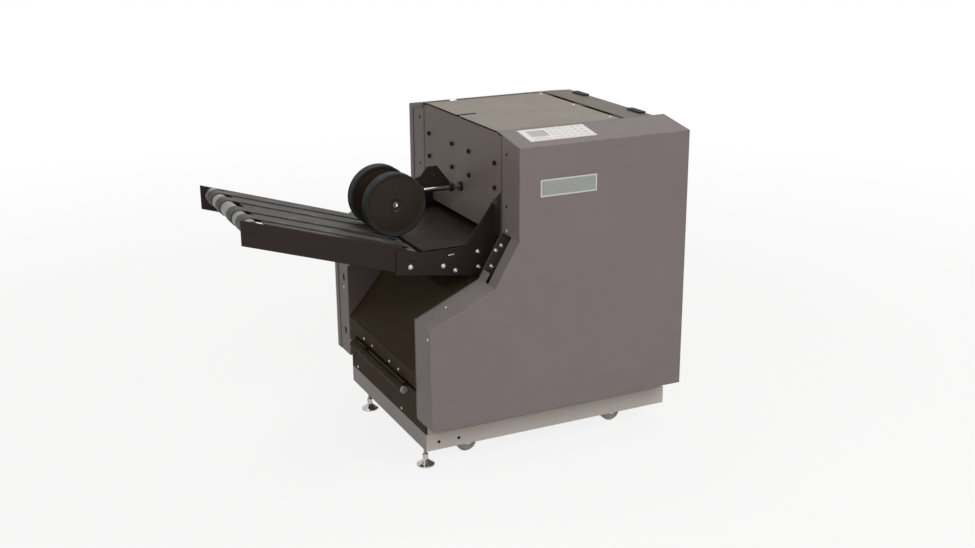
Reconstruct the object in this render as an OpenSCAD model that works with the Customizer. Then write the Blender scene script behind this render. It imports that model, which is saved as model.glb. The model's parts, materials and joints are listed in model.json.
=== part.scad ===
// Floor-standing booklet maker with a delivery conveyor, press wheels and a fold and trim unit.
// X runs along the paper path (infeed at +X, delivery at -X), the operator stands at -Y, +Z is up.
// The origin is on the floor under the middle of the whole machine.

/* [Covers] */
// Length of the operator cover along the paper path
cover_len = 768; // [760:1:800]
// Length of the rear cover and of the top panels
rear_len = 731; // [726:1:740]
// Depth of the machine over both covers
depth = 722; // [716:2:760]
// Height of the covers' upright faces
cover_h = 730; // [726:1:760]
// Height of the covers' lower edge above the floor
ground_gap = 148; // [140:1:160]
// Depth of the sloped top edge
slope_run = 128; // [124:1:134]
// Rise of the sloped top edge
slope_rise = 22; // [20:1:26]
// Depth of the covers' return flanges
flange_w = 100; // [98:1:104]
// Sheet thickness of covers and panels
sheet = 2; // [1.5:0.1:2.4]
// Height of the low nose of the covers
nose_h = 281; // [270:1:285]
// Distance from the nose to the end of the sloped shelf
shelf_x = 185; // [175:1:190]
// Height of the shelf's end
shelf_h = 365; // [355:1:370]
// Distance from the nose to the delivery end plate
throat_x = 255; // [253:1:262]
// Height where the throat turns upright
throat_h = 485; // [480:1:495]
// Depth of the flange along the throat's incline
throat_lip = 46; // [40:1:60]

/* [Base] */
// Distance of the base frame from the nose
base_inset_x = 15; // [12:1:18]
// Distance of the base frame from the covers' faces
base_inset_y = 78; // [72:1:84]
// Height of the base frame's channel
base_h = 49; // [46:1:52]
// Height of the base frame above the floor
base_lift = 56; // [54:1:58]
// Wall of the base frame's channel
base_t = 3; // [2.5:0.1:4]
// Width of the channel's lower lip
low_lip = 20; // [18:1:21]
// Width of the channel's upper lip
top_lip = 40; // [36:1:44]

/* [Castors and feet] */
// Radius of a castor wheel
castor_r = 30; // [27:0.5:31]
// Width of a castor wheel
castor_w = 22; // [18:1:24]
// Distance of the wheel behind its swivel
castor_trail = 20; // [16:1:21]
// Place of the delivery-end castors along the machine
castor_near_x = 145; // [135:1:160]
// Distance of the infeed-end castors from the base frame's infeed end
castor_far_x = 156; // [126:1:176]
// Distance of the castors from the base frame's sides
castor_y = 76; // [71:1:83]
// Diameter of a levelling foot's pad
foot_d = 50; // [44:1:56]
// Diameter of a levelling foot's stud
stud_d = 10; // [8:1:12]
// Distance of the operator-side foot from the base frame's side
foot_front_y = 37; // [33:1:60]
// Distance of the rear foot from the base frame's side
foot_rear_y = 106; // [40:1:133]

/* [Side frames] */
// Thickness of an inner side frame
frame_t = 6; // [4:0.5:8]
// Diameter of the tie bars
tie_d = 20; // [16:1:24]

/* [Delivery conveyor] */
// Width over the conveyor's rails
rail_span = 402; // [392:2:410]
// Thickness of a rail and of a gusset plate
rail_t = 4; // [3:0.5:5]
// Height of a rail
rail_h = 66; // [60:1:72]
// Reach of the conveyor beyond the nose
reach = 430; // [400:1:460]
// Angle at which the conveyor climbs
climb = 17.3; // [15:0.1:19]
// Radius of the conveyor's rollers
roller_r = 20; // [18:0.5:21]
// Distance of the tail roller's axle from the rails' end
roller_gap = 30; // [25:1:65]
// Width of one belt
belt_w = 44; // [36:1:50]
// Thickness of a belt
belt_t = 1.8; // [1.4:0.1:2.2]

/* [Press wheels] */
// Radius of a press wheel over its tyre
wheel_r = 87; // [80:1:92]
// Width of a press wheel
wheel_w = 32; // [28:1:34]
// Distance between the two wheels' middles
wheel_gap = 110; // [106:1:120]
// Thickness of the tyre on a wheel
tyre_t = 5; // [3:0.5:7]
// Diameter of the chrome rod
rod_d = 14; // [12:1:16]

/* [Fold and trim unit] */
// Radius of a fold roller
fold_r = 24.7; // [23:0.1:24.7]
// Number of teeth on a fold gear
gear_teeth = 24; // [20:4:28]
// Travel of the fold knife
knife_travel = 40; // [30:1:40]
// Travel of the trim blade
trim_travel = 55; // [40:1:55]
// Radius of the shafts that run in the side frames
shaft_r = 8; // [7:0.5:9]

/* [Hidden] */
$fn = 48;

// Clearances
run_gap = 0.05;
slip_gap = 0.3;
past = 1;

// Levels and planes worked out from the driving sizes
half = depth / 2;
eave = ground_gap + cover_h;
top = eave + slope_rise;
slope_angle = atan(slope_rise / slope_run);
slope_drop = sheet / cos(slope_angle);
slope_in = half - slope_run;
x_mid = (cover_len - reach) / 2;
base_top = base_lift + base_h;
base_half = half - base_inset_y;
base_end = rear_len + 35;
castor_side = base_half - castor_y;
castor_far = base_end - castor_far_x;
pan_t = 3;
pan_top = base_top + pan_t;
frame_out = half - flange_w;
frame_in = frame_out - frame_t;
frame_end = rear_len - 6;
end_plate_x = frame_end - 3;
rail_wall = 3;
lid_z = top - sheet;
rail_seat = top - 10;
plate_x = throat_x + 1;
plate_foot = 18;
slope_len = norm([slope_run, slope_rise]);
shelf_angle = atan((shelf_h - nose_h) / shelf_x);
shelf_end = [shelf_x, ground_gap + shelf_h];
throat_at = [throat_x, ground_gap + throat_h];
throat_tab = [36, 26];
shelf_hole_at = [34, -half + 57];
shelf_screw_at = [80, -half + 66];
vent_step = 18;
vent_w = 6;

// Conveyor geometry
rail_out = rail_span / 2;
rail_in = rail_out - rail_t;
gusset_out = rail_out + rail_t;
climb_run = [-cos(climb), sin(climb)];
climb_up = [sin(climb), cos(climb)];
drive_at = [25, ground_gap + 428];
belt_run = (reach - roller_gap + drive_at[0]) / cos(climb);
tail_at = drive_at + belt_run * climb_run;
rail_top_at = [1, ground_gap + 455];
axle_r = 6;
belt_in = roller_r + 0.35;
belt_out = belt_in + belt_t;
belt_places = [-140, -wheel_gap / 2, wheel_gap / 2, 140];
tray_z = ground_gap + 446;
tray_t = 2;
exit_gap = 24;
plate_low = tray_z + exit_gap;
support_r = 8;
support_places = [[plate_x + 12, tray_z - 19], [plate_x + 22, ground_gap + 545]];

// Press wheel geometry
wheel_shift = 6;
wheel_reach = wheel_r + belt_out + slip_gap;
wheel_at = drive_at + [wheel_shift, (wheel_reach - wheel_shift * sin(climb)) / cos(climb)];
rod_r = rod_d / 2;
rod_z = ground_gap + 554;
rod_len = 161;
pivot_at = [plate_x - 76, rod_z + 33];
pivot_r = 6;
carriage_x = [plate_x - 131, plate_x - 26];
carriage_y = 18;
carriage_t = 4;
arm_y = carriage_y + carriage_t + slip_gap;
arm_t = 6;

// Fold and trim geometry
path_z = tray_z + 10;
trim_x = plate_x + 86;
trim_frame_t = 8;
trim_post_w = 33;
blade_half = frame_in - 15;
blade_low = path_z + trim_travel - 19;
blade_top = blade_low + 84;
fold_x = trim_x + 88;
nip_gap = 0.6;
fold_half = fold_r + nip_gap / 2;
fold_axes = [[fold_x, path_z + fold_half], [fold_x, path_z - fold_half]];
roller_half = frame_in - 55;
gear_w = 14;
gear_y = frame_in - 16 - gear_w;
gear_pitch = fold_half;
gear_tip = gear_pitch + 1.5;
guide_t = 2;
sheet_gap = 8;
guide_front_x = fold_x + gear_tip + 1.5;
guide_back_x = guide_front_x + guide_t + sheet_gap;
guide_slot_half = frame_in - 65;
guide_low = pan_top + 230;
stitch_z = path_z + 120;
stitch_places = [-75, 75];
guide_top = stitch_z + 34;
mouth_h = 30;
knife_x = guide_back_x + 10;
knife_bar_x = knife_x + knife_travel + 22;
knife_bar_w = 20;
knife_t = 1.5;
knife_half = guide_slot_half - 10;
knife_rod_y = frame_in - 40;
knife_post_x = knife_bar_x + knife_bar_w + 40;
pulley_y = frame_out + 7;
pulley_w = 16;
fold_pulley_r = 30;
motor_pulley_r = 15;
motor_at = [frame_end - 125, ground_gap + 112];
motor_shaft_r = 7;

// Lid hinge geometry
lid_gap = 16;
lid_reveal = 4;
hinge_x = rear_len - 96;
hinge_z = top - 3.5;
hinge_r = 3.4;
hinge_pin_r = 1.5;
hinge_w = 50;
hinge_mid = 20;
lid_half = slope_in - 2;
hinge_places = [31 - lid_half, 4, lid_half - 31];
leaf_len = 24;

// Castor and foot geometry
castor_plate_z = base_top - base_t;
castor_plate_t = 3;
kingpin_r = 6;
castor_axle_r = 4;
fork_t = 3;
foot_x = base_inset_x + base_t + stud_d / 2 + 4;
foot_places = [foot_front_y - base_half, base_half - foot_rear_y];

// Shared helpers

// Moves the machine so that its middle stands on the origin
module place() {
    translate([-x_mid, 0, 0]) children();
}

// Extrudes an outline in the X-Z plane from y0 to y1
module prism_y(y0, y1) {
    translate([0, y1, 0]) rotate([90, 0, 0]) linear_extrude(y1 - y0) children();
}

// Extrudes an outline in the Y-Z plane from x0 to x1
module prism_x(x0, x1) {
    translate([x0, 0, 0]) rotate([90, 0, 90]) linear_extrude(x1 - x0) children();
}

// Round bar along Y, at a point of the X-Z plane
module bar_y(at, r, y0, y1) {
    translate([at[0], y1, at[1]]) rotate([90, 0, 0]) cylinder(r = r, h = y1 - y0);
}

// Round bar along X
module bar_x(x0, x1, y, z, r) {
    translate([x0, y, z]) rotate([0, 90, 0]) cylinder(r = r, h = x1 - x0);
}

// Box between two corners
module block(low, high) {
    translate(low) cube(high - low);
}

// Both sides of something that is drawn on the operator side
module both_sides() {
    children();
    mirror([0, 1, 0]) children();
}

function unit(v) = v / norm(v);
function left_of(v) = [-v[1], v[0]];

// Corner b of an outline that runs anticlockwise, moved inwards by d
function inset_corner(a, b, c, d) =
    let (n = left_of(unit(b - a)), m = left_of(unit(c - b))) b + d / (1 + n * m) * (n + m);

function inset(points, d) =
    let (count = len(points))
    [for (i = [0:count - 1])
        inset_corner(points[(i + count - 1) % count], points[i], points[(i + 1) % count], d)];

// Height of the sloped top edge at a distance from the middle
function slope_z(y) = eave + (half - abs(y)) * slope_rise / slope_run;

// Stepped outline of a cover in the X-Z plane, anticlockwise
function cover_outline(length, low, high) = [
    [0, low], [length, low], [length, high], [throat_x, high],
    throat_at, shelf_end, [0, ground_gap + nose_h]];

// Base and floor

module base_frame() color("#a09893") place() {
    inner_y = base_half - top_lip;
    difference() {
        block([base_inset_x, -base_half, base_lift], [base_end, base_half, base_top]);
        block([base_inset_x + base_t, base_t - base_half, base_lift + base_t],
            [base_end - base_t, base_half - base_t, base_top - base_t]);
        block([base_inset_x + low_lip, low_lip - base_half, base_lift - past],
            [base_end - low_lip, base_half - low_lip, base_lift + base_t + past]);
        block([base_inset_x + top_lip, -inner_y, base_top - base_t - past],
            [base_end - top_lip, inner_y, base_top + past]);
        for (x = [52, 111]) bar_y([x, base_lift + 22], 4, -base_half - past, base_t - base_half + past);
        for (y = foot_places) translate([foot_x, y, base_lift - past])
            cylinder(d = stud_d + 2 * run_gap, h = base_t + 2 * past);
    }
    for (x = [castor_near_x, castor_far])
        block([x - 45, -inner_y - past, base_top - base_t], [x + 45, inner_y + past, base_top]);
    for (y = foot_places) foot_boss(y);
}

// Welded nut that a levelling foot screws into
module foot_boss(y) {
    translate([foot_x, y, base_lift + base_t]) difference() {
        cylinder(d = stud_d + 7, h = 8, $fn = 6);
        translate([0, 0, -past]) cylinder(d = stud_d + 2 * run_gap, h = 8 + 2 * past);
    }
}

module floor_pan() color("#3a3634") place() {
    edge = base_half - 1;
    block([base_inset_x + 5, -edge, base_top], [frame_end, edge, pan_top]);
    both_sides() block([base_inset_x + 5, -edge, base_top], [frame_end, sheet - edge, pan_top + 15]);
}

module levelling_foot(y) color("#d8d8d8") place() {
    pad_r = foot_d / 2;
    translate([foot_x, y, 0]) {
        rotate_extrude() polygon([[0, 0], [pad_r - 1, 0], [pad_r, 1], [pad_r, 4], [pad_r * 0.8, 7],
            [pad_r * 0.5, 13], [stud_d * 0.7, 18], [stud_d * 0.7, 22], [0, 22]]);
        cylinder(d = stud_d, h = base_lift + 28);
        translate([0, 0, 25]) cylinder(d = stud_d + 7, h = 7, $fn = 6);
    }
}

module levelling_foot_front() levelling_foot(foot_places[0]);
module levelling_foot_rear() levelling_foot(foot_places[1]);

// Castors

module castor_plates() color("#8c8c8c") place() {
    both_sides() translate([castor_near_x, -castor_side, 0]) {
        castor_top_plate();
        translate([0, 0, castor_plate_z - 16]) cylinder(r = kingpin_r, h = 14);
        translate([0, 0, castor_plate_z - 20]) cylinder(r = kingpin_r + 3, h = 4);
    }
}

module castor_top_plate() {
    block([-38, -30, castor_plate_z - castor_plate_t], [38, 30, castor_plate_z]);
}

// Legs and axle of a fork around its wheel
module fork_legs(head_z) {
    leg = castor_w / 2 + 2;
    both_sides() prism_y(-leg - fork_t, -leg)
        polygon([[-14, head_z], [24, head_z], [castor_trail + 9, castor_r], [castor_trail + 6, castor_r - 8],
            [castor_trail - 6, castor_r - 8], [castor_trail - 9, castor_r]]);
    bar_y([castor_trail, castor_r], castor_axle_r, -leg - fork_t, leg + fork_t);
}

module swivel_fork(side) color("#8c8c8c") place() {
    head_top = castor_plate_z - castor_plate_t - slip_gap;
    head_low = castor_plate_z - 16 + slip_gap;
    translate([castor_near_x, side * castor_side, 0]) {
        difference() {
            translate([0, 0, head_low]) cylinder(r = 24, h = head_top - head_low);
            translate([0, 0, head_low - past])
                cylinder(r = kingpin_r + run_gap, h = head_top - head_low + 2 * past);
        }
        fork_legs(head_low + 2);
    }
}

module castor_fork_front() swivel_fork(-1);
module castor_fork_rear() swivel_fork(1);

module rigid_castor_forks() color("#8c8c8c") place() {
    both_sides() translate([castor_far, -castor_side, 0]) {
        castor_top_plate();
        fork_legs(castor_plate_z - castor_plate_t);
    }
}

module castor_wheel(x, side) color("#6f6a67") place() {
    tread = castor_w / 2;
    translate([x + castor_trail, side * castor_side, castor_r]) rotate([90, 0, 0])
        rotate_extrude() polygon([[castor_axle_r + run_gap, -tread], [castor_r * 0.45, -tread],
            [castor_r * 0.5, 3 - tread], [castor_r * 0.8, 3 - tread], [castor_r - 3, -tread],
            [castor_r, 3 - tread], [castor_r, tread - 3], [castor_r - 3, tread],
            [castor_r * 0.8, tread - 3], [castor_r * 0.5, tread - 3], [castor_r * 0.45, tread],
            [castor_axle_r + run_gap, tread]]);
}

module castor_wheel_1() castor_wheel(castor_near_x, -1);
module castor_wheel_2() castor_wheel(castor_near_x, 1);
module castor_wheel_3() castor_wheel(castor_far, -1);
module castor_wheel_4() castor_wheel(castor_far, 1);

// Side frames and ties

// Inner side frame, drawn on the operator side
module side_frame() {
    nose_low = ground_gap + 2;
    difference() {
        prism_y(-frame_out, -frame_in) polygon([
            [base_inset_x + 5, pan_top], [frame_end, pan_top], [frame_end, rail_seat],
            [throat_x, rail_seat], throat_at, shelf_end,
            [0, ground_gap + nose_h], [0, nose_low], [base_inset_x + 5, nose_low]]);
        for (at = fold_axes) bar_y(at, shaft_r + run_gap, -half, 0);
    }
}

module side_frame_operator() color("#4c4745") place() side_frame();

module side_frame_rear() color("#4c4745") place() mirror([0, 1, 0]) difference() {
    side_frame();
    bar_y(motor_at, motor_shaft_r + run_gap, -half, 0);
}

module tie_bars() color("#b8b8b8") place() {
    infeed_x = frame_end - 35;
    for (at = [[60, pan_top + 60], [trim_x - 12, pan_top + 220], [trim_x + 43, rail_seat - 60],
        [infeed_x, pan_top + 150], [infeed_x, pan_top + 430]]) bar_y(at, tie_d / 2, -frame_in, frame_in);
    for (at = support_places) bar_y(at, support_r, -frame_in, frame_in);
}

module top_rails() color("#4c4745") place() {
    both_sides() {
        block([plate_x + 6, -frame_in, rail_seat - 20], [end_plate_x, rail_wall - frame_in, rail_seat]);
        block([plate_x + 6, -frame_in, rail_seat - rail_wall], [end_plate_x, 6 - slope_in, rail_seat]);
    }
}

// Covers

// Operator-side cover: an upright face, a sloped top edge and return flanges, open below and inside
module cover_shell(length) {
    high = top + 50;
    outer = cover_outline(length, ground_gap, high);
    inner = inset(cover_outline(length, ground_gap - 50, high), sheet);
    face_in = sheet - half;
    under = [[face_in, ground_gap - past], [1 - slope_in, ground_gap - past],
        [1 - slope_in, slope_z(slope_in - 1) - slope_drop], [face_in, slope_z(face_in) - slope_drop]];
    difference() {
        intersection() {
            prism_y(-half, -slope_in) polygon(outer);
            prism_x(-past, length + past) polygon([[-half, ground_gap], [-slope_in, ground_gap],
                [-slope_in, top], [-half, eave]]);
        }
        intersection() {
            prism_y(face_in, past) polygon(inner);
            prism_x(-past, length + past) polygon(under);
        }
        intersection() {
            block([-past, -frame_out, 0], [length + past, past, high]);
            prism_x(-past, length + past) polygon(under);
        }
        throat_opening(throat_lip - half, -frame_out - throat_tab[0], 0);
        throat_opening(-frame_out - throat_tab[0] - past, past, throat_tab[1]);
    }
    block([throat_x, -slope_in - sheet, rail_seat], [length, -slope_in, top - slope_drop + 0.5]);
}

// Cuts the flange along the throat's incline, from a distance up it to the upright part
module throat_opening(y0, y1, start) {
    incline = unit(throat_at - shelf_end);
    low = shelf_end + start * incline;
    inwards = 6 * sheet;
    prism_y(y0, y1) polygon([low, low + inwards * [cos(shelf_angle), sin(shelf_angle)],
        throat_at + [inwards, 0], throat_at - [3 * past, 0], low - [3 * past, 0]]);
}

// Works in the sloped shelf's own plane, from the nose: X up the shelf, Z out of it
module on_shelf(y) {
    translate([0, y, ground_gap + nose_h]) rotate([0, -shelf_angle, 0]) children();
}

module operator_cover() color("#7a7170") place() difference() {
    cover_shell(cover_len);
    on_shelf(shelf_hole_at[1]) translate([shelf_hole_at[0], 0, -sheet - past])
        cylinder(r = 3.5, h = sheet + 2 * past);
}

// Upright oval slot through the nose flange
module flange_slot(y, z) {
    translate([-past, y, z]) rotate([0, 90, 0]) {
        for (s = [-4, 4]) translate([s, 0, 0]) cylinder(r = 7.5, h = sheet + 2 * past);
        translate([-4, -7.5, 0]) cube([8, 15, sheet + 2 * past]);
    }
}

module rear_cover() color("#7a7170") place() difference() {
    mirror([0, 1, 0]) cover_shell(rear_len);
    for (z = [71, nose_h - 42]) flange_slot(half - 70, ground_gap + z);
    for (i = [0:7]) for (x = [rear_len - 261, rear_len - 141])
        translate([x, half - sheet - past, ground_gap + 180 + vent_step * i])
            cube([80, sheet + 2 * past, vent_w]);
}

module delivery_end_plate() color("#645a56") place() {
    difference() {
        union() {
            block([plate_x, -frame_in, plate_low], [plate_x + sheet, frame_in, rail_seat]);
            block([plate_x, -lid_half, plate_low], [plate_x + sheet, lid_half, lid_z - lid_reveal]);
            block([plate_x, -frame_in, plate_low], [plate_x + plate_foot, frame_in, plate_low + sheet]);
        }
        for (y = [38 - frame_in, -56, 56, frame_in - 38]) for (z = [145, 78])
            bar_x(plate_x - past, plate_x + sheet + past, y, rail_seat - z, 5);
        bar_x(plate_x - past, plate_x + sheet + past, 0, rod_z, rod_r + run_gap);
        both_sides() block([plate_x - past, -gusset_out - slip_gap, plate_low - past],
            [plate_x + plate_foot + past, slip_gap - rail_out, gusset_edge(plate_x + sheet) + 2]);
    }
}

module infeed_end_plate() color("#6c6462") place() {
    mouth_half = frame_in - 60;
    difference() {
        block([end_plate_x, -frame_in, pan_top], [frame_end, frame_in, rail_seat]);
        block([end_plate_x - past, -mouth_half, guide_top],
            [frame_end + past, mouth_half, guide_top + mouth_h]);
        for (i = [0:6]) for (y = [-190, -60])
            translate([end_plate_x - past, y, pan_top + 80 + vent_step * i])
                cube([frame_end - end_plate_x + 2 * past, 110, vent_w]);
    }
}

module infeed_top_panel() color("#8c857e") place() {
    left = hinge_x + lid_gap / 2;
    block([left, -lid_half, lid_z], [rear_len, lid_half, top]);
    block([rear_len - sheet, -lid_half, lid_z - 36], [rear_len, lid_half, top]);
    both_sides() block([left, -lid_half, rail_seat], [rear_len, sheet - lid_half, top]);
}

module edge_blocks() color("#1c1b1a") place() {
    for (y = [-166, 145]) translate([rear_len, y, top]) prism_y(-36, 36)
        polygon([[-22, 0], [0, 0], [0, 5], [-3, 8], [-17, 8], [-22, 4]]);
}

module top_cover() color("#948c84") place() {
    right = hinge_x - lid_gap / 2;
    slit = [56, 18];
    difference() {
        union() {
            block([throat_x, -lid_half, lid_z], [right, lid_half, top]);
            both_sides() block([plate_x + 8, -lid_half, rail_seat + slip_gap],
                [right - 20, sheet - lid_half, top]);
        }
        block([throat_x - past, 6, lid_z - past], [throat_x + slit[0], 6 + slit[1], top + past]);
        for (y = hinge_places) translate([right - leaf_len / 2, y, lid_z - past])
            cylinder(r = 2, h = sheet + 2 * past);
    }
}

// Hinges between the top cover and the infeed top panel

// Leaf and knuckle of a hinge; side is -1 towards the lid, 1 towards the panel
module hinge_half(side, width, knuckles) {
    near = hinge_r + 0.6;
    leaf_top = lid_z - hinge_z;
    difference() {
        union() {
            translate([side * (near + leaf_len / 2), 0, leaf_top - 1])
                cube([leaf_len, width, 2], center = true);
            for (k = knuckles) {
                bar_y([0, 0], hinge_r, k[0], k[1]);
                translate([side * near / 2, (k[0] + k[1]) / 2, leaf_top - 1])
                    cube([near + 0.2, k[1] - k[0], 2], center = true);
            }
        }
        bar_y([0, 0], hinge_pin_r + run_gap, -width, width);
    }
}

module lid_hinges() color("#3d3b3a") place() {
    for (y = hinge_places) translate([hinge_x, y, hinge_z]) {
        hinge_half(1, hinge_w, [[-hinge_mid / 2, hinge_mid / 2]]);
        bar_y([0, 0], hinge_pin_r + run_gap, -hinge_mid / 2, hinge_mid / 2);
        bar_y([0, 0], hinge_pin_r, -hinge_w / 2, hinge_w / 2);
    }
}

module lid_hinge_leaves() color("#d0d0d0") place() {
    side_gap = hinge_mid / 2 + slip_gap;
    for (y = hinge_places) {
        translate([hinge_x, y, hinge_z])
            hinge_half(-1, hinge_w, [[-hinge_w / 2, -side_gap], [side_gap, hinge_w / 2]]);
        translate([hinge_x - lid_gap / 2 - leaf_len / 2, y, lid_z]) {
            cylinder(r = 2 - run_gap, h = sheet);
            translate([0, 0, sheet]) cylinder(r = 4, h = 1.2);
        }
    }
}

// Control panel on the slope of the operator cover

panel_x = [throat_x + 48, throat_x + 245];
panel_y = [33, slope_len - 15];
panel_t = 1.5;
film_t = 0.5;
display_x = [panel_x[0] + 20, panel_x[0] + 69];
display_y = [panel_y[0] + 27, panel_y[1] - 15];
key_rows = [for (i = [0:3]) panel_y[0] + 15 + i * (panel_y[1] - panel_y[0] - 28) / 3];
key_columns = [for (i = [0:5]) display_x[1] + 16 + i * (panel_x[1] - display_x[1] - 36) / 5];
key_size = [13, 9];
key_room = 0.2;

// Works in the slope's own plane: X along the machine, Y up the slope, Z out of it
module on_slope() {
    translate([0, -half, eave]) rotate([slope_angle, 0, 0]) children();
}

module control_panel() color("#e4dfda") place() on_slope() difference() {
    block([panel_x[0], panel_y[0], 0], [panel_x[1], panel_y[1], panel_t]);
    block([display_x[0], display_y[0], film_t], [display_x[1], display_y[1], panel_t + past]);
    at_keys() key_outline(key_size, panel_t);
}

module panel_display() color("#9a9d9c") place() on_slope() {
    block([display_x[0], display_y[0], film_t], [display_x[1], display_y[1], panel_t - 0.3]);
}

module panel_keys() color("#cfd3cd") place() on_slope() {
    at_keys() key_outline(key_size - 2 * [key_room, key_room], panel_t - 0.2);
}

// Puts its child at each key's place, on the film's floor
module at_keys() {
    for (x = key_columns) for (y = key_rows) translate([x, y, film_t]) children();
}

module key_outline(size, height) {
    translate([-size[0] / 2, -size[1] / 2, 0]) cube([size[0], size[1], height]);
}

badge_at = [throat_x + 60, eave - 134];
badge_size = [167, 46];
badge_t = 1.2;
badge_rim = 4;

module blank_badge() color("#8d928c") place() translate([badge_at[0], -half, badge_at[1]]) difference() {
    block([0, -badge_t, 0], [badge_size[0], 0, badge_size[1]]);
    block([badge_rim, -badge_t - past, badge_rim],
        [badge_size[0] - badge_rim, 0.5 - badge_t, badge_size[1] - badge_rim]);
}

screw_r = 4;
screw_h = 1.6;

// Screw head on a face that looks towards -X
module head_x(x, y, z) {
    bar_x(x - screw_h, x, y, z, screw_r);
}

frame_bolt_places = [[plate_x - 33, tray_z - 50], [plate_x - 20, tray_z - 8], [plate_x - 4, tray_z + 4]];

module machine_screws() color("#c9c5c1") place() {
    throat_z = ground_gap + throat_h;
    for (z = [throat_z + 11, throat_z + 77, eave - 30]) for (side = [-1, 1])
        head_x(throat_x, side * (half - 74), z);
    head_x(0, -half + 16, ground_gap + nose_h - 28);
    head_x(0, half - 70, ground_gap + nose_h - 73);
    on_shelf(shelf_screw_at[1]) translate([shelf_screw_at[0], 0, 0]) cylinder(r = screw_r, h = screw_h);
    for (at = frame_bolt_places) bar_y(at, 5, -frame_out - 3, -frame_out);
    for (y = [-132, -66, 66, 132]) head_x(0, y, lip_z + 12);
    for (y = [-111, frame_in - 20]) head_x(base_inset_x, y, base_top + 12);
    for (at = gusset_bolt_places) gusset_bolt(at);
    mirror([0, 1, 0]) for (i = [1:len(gusset_bolt_places) - 1]) gusset_bolt(gusset_bolt_places[i]);
}

// Bolt head with its washer; the rear side has none where the gear motor sits
module gusset_bolt(at) {
    bar_y(at, 5, -gusset_out - 3, -gusset_out);
    bar_y(at, 7, -gusset_out - 1, -gusset_out);
}

// Waste bay under the conveyor

lip_z = ground_gap + 84;
lip_h = 44;
chute_t = 2;
chute_rise = 173;
chute_bend = [plate_x - 106, lip_z + lip_h + chute_rise];
chute_top = [trim_x + 18, path_z - 34];

module waste_chute() color("#2e2a28") place() {
    foot = [sheet, lip_z + lip_h];
    wide = frame_in;
    slim = rail_in - 3;
    down = [0, -chute_t * 1.5];
    prism_y(-wide, wide) polygon([foot, foot + down, chute_bend + down, chute_bend]);
    prism_y(-slim, slim) polygon([chute_bend, chute_bend + down, chute_top + down, chute_top]);
    block([sheet, -wide, lip_z], [2 * sheet, wide, foot[1]]);
    both_sides() prism_y(-slim, chute_t - slim)
        polygon([chute_bend + [30, 17], chute_top, chute_top + [0, 14], chute_bend + [40, 50]]);
}

module chute_lip() color("#4f4743") place() {
    block([0, -frame_in, lip_z], [sheet, frame_in, lip_z + lip_h]);
}

board_top = ground_gap + 57;
board_t = 3;

module plinth_board() color("#3b3532") place() {
    wide = frame_in - slip_gap;
    face = base_inset_x + board_t;
    block([base_inset_x, -wide, base_top], [face, wide, board_top]);
    block([base_inset_x, -base_half, base_top], [face, base_half, ground_gap - slip_gap]);
    block([base_inset_x, -wide, board_top - board_t], [base_inset_x + 30, wide, board_top]);
}

bar_at = [-15, ground_gap + 66];
bar_r = 11.5;
bar_ends = [-205, 188];
bar_wall = 3;

module front_bar() color("#2b2725") place() {
    difference() {
        union() {
            bar_y(bar_at, bar_r, bar_ends[0], bar_ends[1]);
            both_sides() block([bar_at[0], -158, board_top - 6], [base_inset_x, -142, board_top]);
        }
        bar_y(bar_at, bar_r - bar_wall, bar_ends[0] - past, bar_ends[1] + past);
    }
}

module bar_caps() color("#cfcac4") place() {
    cap_t = 4;
    for (end = bar_ends) {
        out = sign(end);
        outer = [end, end + out * cap_t];
        plug = [end - out * 15, end + out];
        bar_y(bar_at, bar_r - 1, min(outer), max(outer));
        bar_y(bar_at, bar_r - bar_wall - run_gap, min(plug), max(plug));
    }
}

// Delivery conveyor

// Side rail, drawn on the operator side
module rail() {
    rise = tan(climb);
    right = 40;
    line = function (x) rail_top_at[1] + (rail_top_at[0] - x) * rise;
    difference() {
        prism_y(-rail_out, -rail_in) polygon([[-reach, line(-reach) - rail_h], [right, line(right) - rail_h],
            [right, line(right)], [-reach, line(-reach)]]);
        for (at = [drive_at, tail_at]) bar_y(at, axle_r + run_gap, -half, 0);
    }
}

module conveyor_rails() color("#38322f") place() both_sides() rail();

gusset_bolt_places = [[drive_at[0] - 11, drive_at[1] - 21], [plate_x - 148, tray_z - 49],
    [plate_x - 113, tray_z - 66], [plate_x - 47, tray_z - 22], [plate_x - 45, tray_z - 65],
    [plate_x - 4, tray_z - 70]];

gusset_low_at = [plate_x - 84, tray_z - 4];
gusset_high_at = [plate_x + 31, tray_z + 154];

// Height of a gusset plate's rear edge where it climbs through the end plate
function gusset_edge(x) = gusset_low_at[1] + (x - gusset_low_at[0])
    * (gusset_high_at[1] - gusset_low_at[1]) / (gusset_high_at[0] - gusset_low_at[0]);

module gusset_plates() color("#2f2a28") place() both_sides() difference() {
    right = gusset_high_at[0] + 13;
    prism_y(-gusset_out, -rail_out) polygon([drive_at + [-50, -38], [plate_x - 69, tray_z - 87],
        [right, tray_z - 99], [right, gusset_high_at[1]], gusset_high_at, gusset_low_at,
        [drive_at[0] + 18, tray_z - 4], drive_at + [-24, 25], drive_at + [-50, 28]]);
    for (at = support_places) bar_y(at, support_r + run_gap, -half, 0);
    bar_y(drive_at, axle_r + run_gap, -half, 0);
}

// Works along the conveyor's climb: first value along it from the drive roller, second square to it
function along(s, n) = drive_at + s * climb_run + n * climb_up;

module conveyor_bed() color("#3a3431") place() {
    under = roller_r - 2.6;
    upper = roller_r - 0.1;
    prism_y(-rail_in, rail_in) polygon([along(26, under), along(belt_run - 26, under),
        along(belt_run - 26, upper), along(26, upper)]);
    for (s = [120, 320]) prism_y(-rail_in, rail_in)
        polygon([along(s, -12), along(s + 14, -12), along(s + 14, under), along(s, under)]);
}

module transfer_tray() color("#3f3936") place() {
    left = drive_at[0] + belt_out + 2.85;
    block([left, -rail_out, tray_z - tray_t], [trim_x - trim_frame_t - 2, rail_out, tray_z]);
    block([left, -rail_out, tray_z - 16], [left + tray_t, rail_out, tray_z]);
}

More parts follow.
